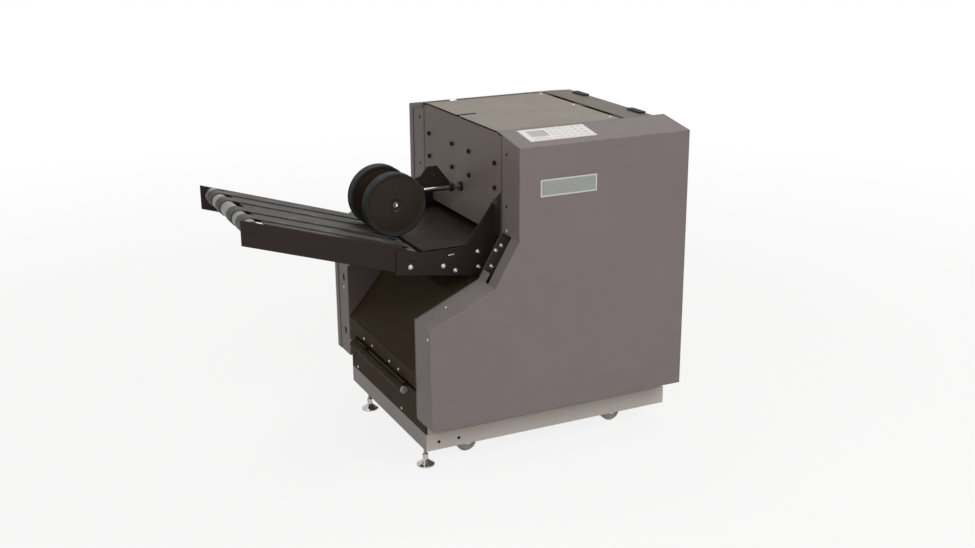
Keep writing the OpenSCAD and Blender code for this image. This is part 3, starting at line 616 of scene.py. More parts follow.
@dataclass(frozen=True)
class PrintedFilm(Finish):
    """Satin film: fine matt grain, faint yellowing towards its edges and finger marks."""

    roughness: float = 0.38
    grain_depth: float = 0.02 * MM
    edge_radius: float = 0.4 * MM
    yellowed: Colour = (0.55, 0.51, 0.42)

    def material(self) -> Material:
        """Makes the film's material.

        Returns:
            The material.
        """
        shade = Shade(self.name)
        grain = shade.noise(2600.0, 1.0)
        thumbed = shade.step(shade.noise(48.0, 4.0), 0.5, 0.78)
        rounded = shade.soft_edges(self.edge_radius)
        tone = shade.mottle(grain * 0.5 + thumbed * 0.5, self.colour, 1.0, 0.92)
        edged = shade.blend(shade.edge(rounded) * 0.3, tone, self.yellowed)
        gloss = self.roughness + (grain - 0.5) * 0.12 - thumbed * 0.1
        relief = shade.bump(grain, self.grain_depth, 0.4, rounded)
        return shade.surface(Base_Color=edged, Roughness=gloss, Normal=relief)


@dataclass(frozen=True)
class DisplayGlass(Finish):
    """Switched-off liquid crystal window: a faint dot grid under a clear gloss face."""

    dot: float = 0.75 * MM

    def material(self) -> Material:
        """Makes the window's material.

        Returns:
            The material.
        """
        shade = Shade(self.name)
        rows = [(((way / self.dot).cycle() - 0.5) * 2).size() for way in shade.axes(shade.place)[:2]]
        across, along = (shade.step(row, 0.7, 0.95) for row in rows)
        smear = shade.noise(60.0, 4.0)
        grid = 1 - (1 - across) * (1 - along)
        tone = shade.mottle(grid * 0.35 + smear * 0.4, self.colour, 0.85, 1.15)
        gloss = 0.12 + shade.step(smear, 0.45, 0.8) * 0.12
        return shade.surface(Base_Color=tone, Roughness=gloss, Coat_Weight=0.6, Coat_Roughness=0.04)


@dataclass(frozen=True)
class EtchedPlate(Finish):
    """Thin metal plate with a pale raised rim and a tinted, brushed field."""

    field: Colour = (0.30, 0.315, 0.295)
    rim_y: float = 0.0
    rim_depth: float = 0.5 * MM
    line_depth: float = 0.02 * MM
    edge_radius: float = 0.3 * MM

    def material(self) -> Material:
        """Makes the plate's material.

        Returns:
            The material.
        """
        shade = Shade(self.name)
        lines = shade.noise(1400.0, stretch=(0.04, 1.0, 1.0))
        cloud = shade.noise(60.0, 3.0)
        depth = shade.axes(shade.place)[1] - self.rim_y
        sunk = shade.step(depth, self.rim_depth * 0.3, self.rim_depth * 0.7)
        field = shade.mottle(lines * 0.7 + cloud * 0.3, self.field, 0.85, 1.15)
        rim = shade.mottle(lines, self.colour, 0.9, 1.0)
        tone = shade.blend(sunk, rim, field)
        gloss = 0.44 + (lines - 0.5) * 0.16 + (cloud - 0.5) * 0.1
        relief = shade.bump(lines, self.line_depth, 0.4, shade.soft_edges(self.edge_radius))
        return shade.surface(Base_Color=tone, Metallic=0.35 - sunk * 0.2, Roughness=gloss, Normal=relief)


@dataclass(frozen=True)
class CastPaint(Finish):
    """Thick hammered paint on a casting."""

    roughness: float = 0.42
    dimple_depth: float = 0.3 * MM
    edge_radius: float = 1.2 * MM

    def material(self) -> Material:
        """Makes the casting's material.

        Returns:
            The material.
        """
        shade = Shade(self.name)
        dimple = shade.noise(260.0, 1.0)
        cloud = shade.noise(30.0, 4.0)
        rounded = shade.soft_edges(self.edge_radius)
        tone = shade.mottle(dimple * 0.6 + cloud * 0.4, self.colour, 0.75, 1.25)
        worn = shade.blend(shade.edge(rounded) * 0.4, tone, tint(self.colour, 2.0))
        gloss = self.roughness + (cloud - 0.5) * 0.2
        relief = shade.bump(dimple, self.dimple_depth, 0.5, rounded)
        return shade.surface(Base_Color=worn, Roughness=gloss, Normal=relief)


# Mesh building


class Facing(Enum):
    """Side of the machine that a fastener's head looks towards; SHELF is square to the covers' slant."""

    DELIVERY = (-1.0, 0.0, 0.0)
    OPERATOR = (0.0, -1.0, 0.0)
    REAR = (0.0, 1.0, 0.0)
    SHELF = (-0.084, 0.0, 0.185)

    def matrix(self, at: Vector) -> Matrix:
        """Place of a piece that is drawn about Z, stands at a point and looks this way."""
        turn = Vector(self.value).normalized().to_track_quat("Z", "Y")
        return Matrix.Translation(at) @ turn.to_matrix().to_4x4()


class Drive(Enum):
    """Recess in a screw's head, as sides of its outline."""

    CROSS = 4
    HEX = 6


def flanks(box: Box, out: float = 0.0, at: Point | None = None) -> Iterator[Matrix]:
    """Places on the operator's and then the rear flank of a box, looking away from it.

    Args:
        box: the box's lowest and highest corner.
        out: how far the places stand off the flanks.
        at: their X and Z; without it they are the middle's.

    Yields:
        The matrix of each place.
    """
    low, high = box
    middle = (low + high) / 2
    x, z = at or (middle.x, middle.z)
    for facing, y in ((Facing.OPERATOR, low.y - out), (Facing.REAR, high.y + out)):
        yield facing.matrix(Vector((x, y, z)))


def span(points: Iterable[Vector]) -> Box:
    """Lowest and highest corner of the box round points."""
    axes = list(zip(*points))
    return Vector(map(min, axes)), Vector(map(max, axes))


def lathe(profile: Sequence[Point], steps: int = 40, hollow: bool = False) -> Solid:
    """Turned solid about Z.

    Args:
        profile: radius and height of each point, starting and ending on the axis.
        steps: facets round it.
        hollow: the profile is a closed loop clear of the axis.

    Returns:
        The closed solid.
    """
    solid = bmesh.new()
    points = [solid.verts.new((radius, 0.0, height)) for radius, height in profile]
    edges = [solid.edges.new(pair) for pair in zip(points, points[1:])]
    if hollow:
        edges.append(solid.edges.new((points[-1], points[0])))
    bmesh.ops.spin(solid, geom=points + edges, axis=(0, 0, 1), cent=(0, 0, 0), steps=steps, angle=math.tau)
    bmesh.ops.remove_doubles(solid, verts=solid.verts, dist=WELD)
    bmesh.ops.recalc_face_normals(solid, faces=solid.faces)
    return solid


def prism(outline: Sequence[Point], low: float, high: float, chamfer: float = 0.0) -> Solid:
    """Upright solid over an outline.

    Args:
        outline: its corners, anticlockwise.
        low: height of its foot.
        high: height of its top.
        chamfer: width of the rounding along all its edges.

    Returns:
        The closed solid.
    """
    solid = bmesh.new()
    foot = solid.faces.new([solid.verts.new((x, y, low)) for x, y in outline])
    grown = bmesh.ops.extrude_face_region(solid, geom=[foot])["geom"]
    lifted = [part for part in grown if isinstance(part, bmesh.types.BMVert)]
    bmesh.ops.translate(solid, verts=lifted, vec=(0, 0, high - low))
    bmesh.ops.recalc_face_normals(solid, faces=solid.faces)
    if chamfer:
        soften(solid, solid.edges[:], chamfer, steps=3)
    return solid


def soften(solid: Solid, edges: Sequence[bmesh.types.BMEdge], width: float, steps: int) -> None:
    """Rounds edges of a solid."""
    bmesh.ops.bevel(solid, geom=edges, offset=width, segments=steps, profile=0.5, affect="EDGES")


def dome(radius: float, base: float, rise: float, step: int = 10) -> list[Point]:
    """Profile of a dome from its rim, at a base height, to a step in degrees short of its crown."""
    angles = [math.radians(a) for a in range(0, 90, step)]
    return [(radius * math.cos(a), base + rise * math.sin(a)) for a in angles]


def regular(sides: int, radius: float) -> list[Point]:
    """Corners of a regular outline."""
    angles = [math.tau * i / sides for i in range(sides)]
    return [(radius * math.cos(a), radius * math.sin(a)) for a in angles]


def oblong(low: Sequence[float], high: Sequence[float], corner: float, grow: float = 0.0) -> list[Point]:
    """Rectangle with rounded corners.

    Args:
        low: its lowest corner.
        high: its highest corner.
        corner: radius of the rounding.
        grow: how far it reaches beyond these corners.

    Returns:
        The outline's points, anticlockwise.
    """
    steps = 5
    left, right = low[0] - grow + corner, high[0] + grow - corner
    near, far = low[1] - grow + corner, high[1] + grow - corner
    points = []
    for quarter, (x, y) in enumerate(((right, near), (right, far), (left, far), (left, near)), -1):
        for i in range(steps + 1):
            angle = math.tau / 4 * (quarter + i / steps)
            points.append((x + corner * math.cos(angle), y + corner * math.sin(angle)))
    return points


def ring(outer: Sequence[Point], inner: Sequence[Point], low: float, high: float) -> Solid:
    """Upright frame between two outlines of the same number of points.

    Args:
        outer: its outside corners, anticlockwise.
        inner: its inside corners, anticlockwise.
        low: height of its foot.
        high: height of its top.

    Returns:
        The closed solid.
    """
    solid = bmesh.new()
    loops = [
        [solid.verts.new((x, y, z)) for x, y in outline]
        for outline, z in ((outer, low), (outer, high), (inner, high), (inner, low))
    ]
    count = len(outer)
    for near, far in zip(loops, loops[1:] + loops[:1]):
        for i in range(count):
            after = (i + 1) % count
            solid.faces.new((near[i], near[after], far[after], far[i]))
    bmesh.ops.recalc_face_normals(solid, faces=solid.faces)
    return solid


def to_mesh(solid: Solid, name: str) -> Mesh:
    """Turns a solid into a mesh.

    Args:
        solid: the solid, which is freed.
        name: the mesh's name.

    Returns:
        The mesh.
    """
    mesh = bpy.data.meshes.new(name)
    solid.to_mesh(mesh)
    solid.free()
    return mesh


def place_object(name: str, data: bpy.types.ID) -> bpy.types.Object:
    """Puts an object into the scene.

    Args:
        name: the object's name.
        data: the mesh, lamp or camera that it shows.

    Returns:
        The object.
    """
    made = bpy.data.objects.new(name, data)
    bpy.context.scene.collection.objects.link(made)
    return made


def join(into: Solid, part: Solid, matrix: Matrix | None = None) -> None:
    """Adds a solid to another mesh.

    Args:
        into: the mesh that grows.
        part: the solid that is added, and freed.
        matrix: where it goes.
    """
    if matrix is not None:
        part.transform(matrix)
    carrier = to_mesh(part, "carrier")
    into.from_mesh(carrier)
    bpy.data.meshes.remove(carrier)


def stamp(into: Solid, mesh: Mesh, matrix: Matrix) -> None:
    """Adds a copy of a mesh to another.

    Args:
        into: the mesh that grows.
        mesh: the mesh that is copied.
        matrix: where the copy goes.
    """
    part = bmesh.new()
    part.from_mesh(mesh)
    join(into, part, matrix)


def carve(body: Solid, tool: Solid) -> Mesh:
    """Cuts one solid out of another.

    Args:
        body: what is cut, and freed.
        tool: what is taken away, and freed.

    Returns:
        The cut mesh.
    """
    blanks = [place_object("blank", to_mesh(solid, "blank")) for solid in (body, tool)]
    cut = blanks[0].modifiers.new("cut", "BOOLEAN")
    cut.object = blanks[1]
    bpy.context.view_layer.update()
    evaluated = blanks[0].evaluated_get(bpy.context.evaluated_depsgraph_get())
    result = bpy.data.meshes.new_from_object(evaluated)
    for blank in blanks:
        mesh = blank.data
        bpy.data.objects.remove(blank)
        bpy.data.meshes.remove(mesh)
    return result


def screw_head(radius: float, height: float, drive: Drive) -> Mesh:
    """Domed screw head with its recess.

    Args:
        radius: of the head.
        height: of the head.
        drive: the recess.

    Returns:
        The head's mesh, standing on Z = 0.
    """
    # Shares of the head's height and radius
    rim_share, hex_share, wing_share, slot_share = 0.35, 0.58, 0.62, 0.13
    rim, above = height * rim_share, height + 1 * MM
    body = lathe([(0, 0), (radius, 0), *dome(radius, rim, height - rim), (0, height)])
    if drive is Drive.HEX:
        outline = regular(drive.value, radius * hex_share)
    else:
        wing, wide = radius * wing_share, radius * slot_share
        outline = [(wing, -wide), (wing, wide), (wide, wide), (wide, wing), (-wide, wing), (-wide, wide)]
        outline += [(-x, -y) for x, y in outline]
    return carve(body, prism(outline, rim, above))


class Workshop:
    """The loaded frame with its finishes: makes pieces and dresses the frame's nodes."""

    sharp_angle: float = math.radians(32)

    def __init__(self, frame: Mapping[str, Any], finishes: Iterable[Finish]) -> None:
        """Keeps the frame and the finishes.

        Args:
            finishes: finishes that are named for the record's slots.
        """
        self.nodes: Mapping[str, bpy.types.Object] = frame["nodes"]
        self.slots = {part["node"]: part["material_slot"] for part in frame["record"]["subparts"]}
        self.mounts: Sequence[Mapping[str, Any]] = frame["record"]["mounts"]
        self.materials = {finish.name: finish.material() for finish in finishes}

    def dress(self, nodes: Iterable[str], finish: Finish | None = None) -> None:
        """Gives nodes their material.

        Args:
            nodes: names of the frame's nodes.
            finish: a finish of their own; without it they take the record's slot.
        """
        own = finish.material() if finish else None
        for name in nodes:
            mesh = self.nodes[name].data
            mesh.materials.clear()
            mesh.materials.append(own or self.materials[self.slots[name]])

    def solids(self, node: str) -> list[Box]:
        """Boxes of a node's separate solids, in the order of its mesh.

        Args:
            node: the node's name.

        Returns:
            Lowest and highest corner of each solid.
        """
        mesh = bmesh.new()
        mesh.from_mesh(self.nodes[node].data)
        bmesh.ops.remove_doubles(mesh, verts=mesh.verts, dist=WELD)
        seen: set[bmesh.types.BMVert] = set()
        boxes = []
        for start in mesh.verts:
            if start in seen:
                continue
            seen.add(start)
            waiting, points = [start], []
            while waiting:
                vert = waiting.pop()
                points.append(vert.co)
                near = [edge.other_vert(vert) for edge in vert.link_edges]
                fresh = [other for other in near if other not in seen]
                seen.update(fresh)
                waiting.extend(fresh)
            boxes.append(span(points))
        mesh.free()
        return boxes

    def piece(
        self,
        name: str,
        solid: Solid,
        slot: str,
        body: str = "chassis",
        stands_for: Sequence[str] = (),
        finish: Finish | None = None,
    ) -> None:
        """Makes an object of a mesh and hangs it on a body.

        Args:
            name: the piece's name.
            solid: its mesh in the row frame, which is freed.
            slot: the record's material slot.
            body: the body that it moves with.
            stands_for: nodes that it replaces.
            finish: a finish of its own; without it the piece takes the slot's.
        """
        mesh = to_mesh(solid, name)
        mesh.polygons.foreach_set("use_smooth", [True] * len(mesh.polygons))
        mesh.set_sharp_from_angle(angle=self.sharp_angle)
        mesh.materials.append(finish.material() if finish else self.materials[slot])
        made = place_object(name, mesh)
        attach(made, body)
        if stands_for:
            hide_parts(*stands_for)
        LOG.info("made %s on %s", name, body)


# Sub-assemblies


@dataclass
class Fasteners:
    """Pan-head screws and the gusset plates' socket-head bolts."""

    shop: Workshop
    head_r: float = 4.0 * MM
    head_h: float = 2.3 * MM
    head_seat: float = 0.8 * MM
    turn_per_metre: float = 40.0
    bolt_r: float = 4.8 * MM
    bolt_h: float = 4.2 * MM
    washer_r: float = 6.7 * MM
    washer_h: float = 1.1 * MM
    washer_rim: float = 0.25 * MM
    dark_above: float = 680 * MM

    def build(self) -> None:
        """Makes every head and stands them for the solid ones."""
        screw = screw_head(self.head_r, self.head_h, Drive.CROSS)
        bolt = screw_head(self.bolt_r, self.bolt_h, Drive.HEX)
        screws, dark_screws, bolts = bmesh.new(), bmesh.new(), bmesh.new()
        for low, high in self.shop.solids("machine_screws"):
            facing = self.facing(low, high)
            foot = (low + high) / 2 - Vector(facing.value).normalized() * self.head_seat
            if facing in (Facing.OPERATOR, Facing.REAR):
                foot.y = high.y if facing is Facing.OPERATOR else low.y
                at = facing.matrix(foot)
                join(bolts, self.washer(), at)
                stamp(bolts, bolt, at @ Matrix.Translation((0, 0, self.washer_h)))
            else:
                at = facing.matrix(foot) @ Matrix.Rotation(foot.y * self.turn_per_metre, 4, "Z")
                stamp(dark_screws if foot.z > self.dark_above else screws, screw, at)
        for mesh in (screw, bolt):
            bpy.data.meshes.remove(mesh)
        self.shop.piece("cover_screw_heads", screws, "zinc", stands_for=["machine_screws"])
        self.shop.piece("dark_screw_heads", dark_screws, "dark_paint", stands_for=["machine_screws"])
        self.shop.piece("gusset_bolt_heads", bolts, "zinc", stands_for=["machine_screws"])

    @staticmethod
    def facing(low: Vector, high: Vector) -> Facing:
        """Side that a head looks towards, from its solid's thinnest way.

        Args:
            low: the solid's lowest corner.
            high: the solid's highest corner.

        Returns:
            The side.
        """
        size = high - low
        if size.y < min(size.x, size.z):
            return Facing.OPERATOR if low.y < 0 else Facing.REAR
        return Facing.DELIVERY if size.x < size.z else Facing.SHELF

    def washer(self) -> Solid:
        """Plain washer with rounded rims."""
        r, h, rim = self.washer_r, self.washer_h, self.washer_rim
        return lathe([(0, 0), (r - rim, 0), (r, rim), (r, h - rim), (r - rim, h), (0, h)])


@dataclass
class CoverSet:
    """Sheet-metal covers and frames, the blocks on the infeed edge and the accessory holes' collars."""

    shop: Workshop
    covers: Names = ("operator_cover", "rear_cover", "delivery_end_plate", "infeed_end_plate")
    inner: Names = ("side_frame_operator", "tie_bars", "top_rails", "lid_hinges")
    collar_w: float = 1.5 * MM
    collar_h: float = 5.5 * MM
    collar_rim: float = 0.6 * MM
    collar_steps: int = 28
    hem_w: float = 26 * MM
    hem_t: float = 2.2 * MM
    hem_root: float = 0.3 * MM
    hem_round: float = 0.5 * MM
    hem_top: float = 14 * MM
    eave_drop: float = 1 * MM
    flange_w: float = 100 * MM
    nose_h: float = 281 * MM
    throat: Point = (255 * MM, 485 * MM)
    block_h: float = 5.8 * MM
    block_corner: float = 6 * MM
    block_round: float = 1.6 * MM
    block_foot: float = 1 * MM
    rib_count: int = 5
    rib_rise: float = 0.8 * MM
    rib_depth: float = 2 * MM
    rib_half: float = 2 * MM
    rib_corner: float = 1.9 * MM
    rib_inset: Point = (5 * MM, 12 * MM)

    def build(self) -> None:
        """Dresses the sheets and makes the collars, the rear cover's hem and the edge blocks."""
        self.shop.dress((*self.covers, *self.inner))
        own = {
            # Painted light: the rear side frame takes a lighter copy of the frame paint, to offset the deep
            # shade it lies in
            "side_frame_rear": PaintedSheet("rear_frame_lit_paint", (0.15, 0.118, 0.112), roughness=0.48),
            "infeed_top_panel": PaintedSheet("infeed_paint", (0.132, 0.111, 0.094), dust=0.06),
            "blank_badge": EtchedPlate("badge_etched", (0.58, 0.58, 0.565), rim_y=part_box("blank_badge")[0].y),
        }
        for node, finish in own.items():
            self.shop.dress((node,), finish)
        collars = bmesh.new()
        for mount in self.shop.mounts:
            if mount["kind"] == "bolt_pattern":
                self.add_collars(collars, mount["pos_m"], mount["dims"])
        self.shop.piece("hole_collars", collars, "black_plastic")
        self.make_hem()
        blocks = bmesh.new()
        for low, high in self.shop.solids("edge_blocks"):
            self.add_block(blocks, low, high)
        self.shop.piece("edge_buffers", blocks, "black_plastic", stands_for=["edge_blocks"])

    def add_collars(self, into: Solid, middle: Sequence[float], sizes: Mapping[str, float]) -> None:
        """Adds a moulded collar round each hole of a pattern on the delivery end plate.

        Args:
            into: the mesh that grows.
            middle: the pattern's middle on the plate's face.
            sizes: the record's sizes of the pattern, in millimetres.
        """
        bore = sizes["hole_r_mm"] * MM
        rim, wide, high = self.collar_rim, bore + self.collar_w, self.collar_h
        outside = [(bore, 0), (wide, 0), (wide, high - rim), (wide - rim, high)]
        profile = [*outside, (bore + rim, high), (bore, high - rim)]
        for across in (-0.5, 0.5):
            for up in (-0.5, 0.5):
                reach = Vector((0, across * sizes["spacing_x_mm"] * MM, up * sizes["spacing_y_mm"] * MM))
                at = Facing.DELIVERY.matrix(Vector(middle) + reach)
                join(into, lathe(profile, self.collar_steps, hollow=True), at)

    def make_hem(self) -> None:
        """Makes the folded hem on the rear cover's flanges, beside the nose and round the throat's flange."""
        low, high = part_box("rear_cover")
        inner, edge = high.y - self.hem_w, high.y - self.flange_w
        run, rise = SLOPE
        foot, eave = low.z + self.throat[1], high.z - rise - self.eave_drop
        under = eave - self.hem_top
        nose = [(inner, low.z), (high.y, low.z), (high.y, low.z + self.nose_h), (inner, low.z + self.nose_h)]
        upper = [
            (inner, foot),
            (high.y, foot),
            (high.y, eave),
            (edge, eave + self.flange_w * rise / run),
            (edge, under + self.flange_w * rise / run),
            (inner, under + self.hem_w * rise / run),
        ]
        hem = bmesh.new()
        for outline, x in ((nose, low.x), (upper, low.x + self.throat[0])):
            join(hem, prism(outline, x - self.hem_t, x + self.hem_root, self.hem_round), ALONG_X)
        self.shop.piece("rear_cover_hem", hem, "cover_paint")

    def add_block(self, into: Solid, low: Vector, high: Vector) -> None:
        """Adds one low rounded block with grip ribs across its top.

        Args:
            into: the mesh that grows.
            low: the lowest corner of its space.
            high: the highest corner of its space.
        """
        top = low.z + self.block_h
        body = prism(oblong(low, high, self.block_corner), low.z, top - self.rib_rise)
        foot = low.z + self.block_foot
        upper = [edge for edge in body.edges if all(vert.co.z > foot for vert in edge.verts)]
        soften(body, upper, self.block_round, steps=4)
        join(into, body)
        side, end = self.rib_inset
        step = (high.y - low.y - 2 * end) / (self.rib_count - 1)
        for i in range(self.rib_count):
            y = low.y + end + step * i
            near, far = (low.x + side, y - self.rib_half), (high.x - side, y + self.rib_half)
            join(into, prism(oblong(near, far, self.rib_corner), top - self.rib_depth, top, ROUND))


@dataclass
class LidSet:
    """Hinged top cover with its dark hinge leaves, bright screws, spring clip and a dark rubber strip on its
    rear edge as painted shade.
    """

    shop: Workshop
    screw_r: float = 4.4 * MM
    screw_h: float = 2.2 * MM
    screw_inset: float = 8 * MM
    screw_lift: float = 1.2 * MM
    turn_per_metre: float = 9.0
    clip_x: float = 168 * MM
    clip_w: float = 22 * MM
    clip_d: float = 9 * MM
    clip_h: float = 3 * MM
    clip_gauge: float = 0.9 * MM
    clip_bend: float = 0.8 * MM
    clip_round: float = 0.25 * MM
    shade_strip_w: float = 3.0 * MM
    shade_strip_h: float = 1.8 * MM
    shade_strip_root: float = 0.5 * MM
    shade_strip_lip: float = 0.8 * MM
    shade_strip_rim: float = 0.4 * MM
    shade_strip_inset: float = 4.0 * MM

    def build(self) -> None:
        """Dresses the lid and makes its hinges' screws, its clip and its dark rear strip of painted shade."""
        self.shop.dress(("top_cover",))
        paint = PaintedSheet("hinge_paint", (0.025, 0.02, 0.017), roughness=0.44)
        self.shop.dress(("lid_hinge_leaves",), paint)
        screw = screw_head(self.screw_r, self.screw_h, Drive.CROSS)
        screws = bmesh.new()
        for low, high in self.shop.solids("lid_hinge_leaves"):
            at = Vector((low.x + self.screw_inset, (low.y + high.y) / 2, high.z - self.screw_lift))
            turn = Matrix.Rotation(at.y * self.turn_per_metre, 4, "Z")
            stamp(screws, screw, Matrix.Translation(at) @ turn)
        bpy.data.meshes.remove(screw)
        self.shop.piece("hinge_screw_heads", screws, "zinc", "lid")
        self.make_clip()
        self.make_shade_strip()

    def make_clip(self) -> None:
        """Makes the bent spring clip on the lid's rear edge."""
        _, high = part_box("top_cover")
        shoulder, crest, heel = self.clip_h * 0.7, -self.clip_d * 0.7, -self.clip_d * 0.8
        strip = [
            (-self.clip_d, 0.0),
            (0.0, 0.0),
            (0.0, shoulder),
            (-self.clip_bend, self.clip_h),
            (crest, self.clip_h),
            (heel, self.clip_gauge),
            (-self.clip_d, self.clip_gauge),
        ]
        clip = prism(strip, -self.clip_w / 2, self.clip_w / 2, self.clip_round)
        clip.transform(Matrix.Translation((self.clip_x, high.y, high.z)) @ ALONG_X)
        self.shop.piece("lid_spring_clip", clip, "bright_steel", "lid")

    def make_shade_strip(self) -> None:
        """Makes the thin dark rubber strip along the lid's rear edge, which stands in for the shade under that
        edge.
        """
        low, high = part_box("top_cover")
        back, lip, foot = high.y - self.shade_strip_w, high.y + self.shade_strip_lip, high.z - self.shade_strip_root
        crown = high.z + self.shade_strip_h
        outline = [
            (back, foot),
            (lip, foot),
            (lip, crown - self.shade_strip_rim),
            (high.y + self.shade_strip_lip / 4, crown),
            (back, high.z + self.shade_strip_rim),
        ]
        # Painted shade: a dark strip where the shade under the lid's rear edge falls
        shade_strip = prism(outline, low.x + self.shade_strip_inset, high.x - self.shade_strip_inset)
        shade_strip.transform(ALONG_X)
        self.shop.piece("lid_rear_shade_strip", shade_strip, "belt_rubber", "lid")


class Sign(Enum):
    """Plain sign printed on a key, as corners in a square of side 2."""

    BAR = ((-1.0, -0.25), (1.0, -0.25), (1.0, 0.25), (-1.0, 0.25))
    SQUARE = ((-0.7, -0.7), (0.7, -0.7), (0.7, 0.7), (-0.7, 0.7))
    UP = ((-0.9, -0.6), (0.9, -0.6), (0.0, 0.8))
    DOWN = ((-0.9, 0.6), (0.0, -0.8), (0.9, 0.6))
    LEFT = ((-0.8, 0.0), (0.6, -0.9), (0.6, 0.9))
    RIGHT = ((0.8, 0.0), (-0.6, 0.9), (-0.6, -0.9))
    PLUS = (
        (-0.2, -0.9), (0.2, -0.9), (0.2, -0.2), (0.9, -0.2), (0.9, 0.2), (0.2, 0.2),
        (0.2, 0.9), (-0.2, 0.9), (-0.2, 0.2), (-0.9, 0.2), (-0.9, -0.2), (-0.2, -0.2),
    )

    def outline(self, at: Vector, size: float) -> list[Point]:
        """The sign's corners at a place."""
        return [(at.x + x * size, at.y + y * size) for x, y in self.value]


@dataclass
class ControlPanel:
    """Film panel on the slope: key signs, tinted keys, printed lines and the display's bezel."""

    shop: Workshop
    bezel_w: float = 2.2 * MM
    bezel_h: float = 0.5 * MM
    bezel_step: Point = (0.75, 0.55)
    bezel_corner: float = 0.6 * MM
    ink_h: float = 0.06 * MM
    ink_root: float = 0.02 * MM
    line_w: float = 0.7 * MM
    line_inset: float = 3 * MM
    line_corner: float = 3 * MM
    bar_count: int = 3
    bar_first: float = 8 * MM
    bar_pitch: float = 5.5 * MM
    bar_w: float = 1.3 * MM
    bar_corner: float = 0.6 * MM
    bar_shorter: float = 9 * MM
    pad: Point = (5.2 * MM, 3.3 * MM)
    pad_corner: float = 1.2 * MM
    sign_size: float = 1.7 * MM
    signs: tuple[Sign, ...] = (Sign.BAR, Sign.UP, Sign.LEFT, Sign.PLUS, Sign.DOWN, Sign.RIGHT, Sign.SQUARE)
    sign_steps: tuple[int, int] = (2, 3)
    tinted_columns: int = 2
    key_digits: int = 4

    def build(self) -> None:
        """Dresses the panel and makes what is printed and set on it."""
        self.shop.dress(("control_panel", "panel_display", "panel_keys"))
        self.make_bezel()
        self.make_lines()
        self.make_keys()

    def plane(self) -> Matrix:
        """Place of the slope's own plane.

        Returns:
            The matrix from that plane to the row frame.
        """
        low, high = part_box("operator_cover")
        run, rise = SLOPE
        return Matrix.Translation((0, low.y, high.z - rise)) @ Matrix.Rotation(math.atan2(rise, run), 4, "X")

    def flat_box(self, node: str) -> Box:
        """Box of a node in the slope's own plane."""
        back = self.plane().inverted()
        return span(back @ vert.co for vert in self.shop.nodes[node].data.vertices)

    def add_print(self, name: str, ink: Solid, colour: Colour) -> None:
        """Makes a piece of what is printed in one colour on the slope's own plane."""
        ink.transform(self.plane())
        self.shop.piece(name, ink, "key_film", finish=PrintedFilm(name, colour))

    def make_bezel(self) -> None:
        """Makes the moulded frame round the display, with a rounded outer rim."""
        low, high = self.flat_box("panel_display")
        film = self.flat_box("control_panel")[1].z
        frame = bmesh.new()
        narrow, lower = self.bezel_w * self.bezel_step[0], self.bezel_h * self.bezel_step[1]
        for width, height in ((self.bezel_w, lower), (narrow, self.bezel_h)):
            outer, inner = oblong(low, high, width, width), oblong(low, high, self.bezel_corner)
            join(frame, ring(outer, inner, film - SINK, film + height))
        frame.transform(self.plane())
        self.shop.piece("display_bezel", frame, "badge_plate")

    def make_lines(self) -> None:
        """Prints the outline round the film and the bars between the groups of keys."""
        low, high = self.flat_box("control_panel")
        root, top = high.z - self.ink_root, high.z + self.ink_h
        ink = bmesh.new()
        outer = oblong(low, high, self.line_corner, -self.line_inset)
        inner = oblong(low, high, self.line_corner - self.line_w, -self.line_inset - self.line_w)
        join(ink, ring(outer, inner, root, top))
        shown_low, shown_high = self.flat_box("panel_display")
        for i in range(self.bar_count):
            y, end = low.y + self.bar_first + self.bar_pitch * i, shown_high.x - self.bar_shorter * i
            bar = oblong((shown_low.x, y), (end, y + self.bar_w), self.bar_corner)
            join(ink, prism(bar, root, top))
        self.add_print("panel_ink", ink, (0.30, 0.29, 0.29))

    def make_keys(self) -> None:
        """Prints a sign on each key and tints the keys of the last columns."""
        back = self.plane().inverted()
        keys = [back @ ((low + high) / 2) for low, high in self.shop.solids("panel_keys")]
        top = self.flat_box("panel_keys")[1].z
        root = top - self.ink_root
        spots = [(round(key.x, self.key_digits), round(key.y, self.key_digits)) for key in keys]
        columns, rows = (sorted(set(places)) for places in zip(*spots))
        ink, green, red = bmesh.new(), bmesh.new(), bmesh.new()
        reach = Vector(self.pad)
        for key, (x, y) in zip(keys, spots):
            column, row = columns.index(x), rows.index(y)
            if column >= len(columns) - self.tinted_columns:
                pad = oblong(key.xy - reach, key.xy + reach, self.pad_corner)
                join(red if row == 0 else green, prism(pad, root, top + self.ink_h))
            number = self.sign_steps[0] * column + self.sign_steps[1] * row
            sign = self.signs[number % len(self.signs)]
            join(ink, prism(sign.outline(key, self.sign_size), root, top + 2 * self.ink_h))
        self.add_print("key_signs", ink, (0.20, 0.20, 0.21))
        self.add_print("green_keys", green, (0.50, 0.61, 0.53))
        self.add_print("red_keys", red, (0.70, 0.53, 0.47))


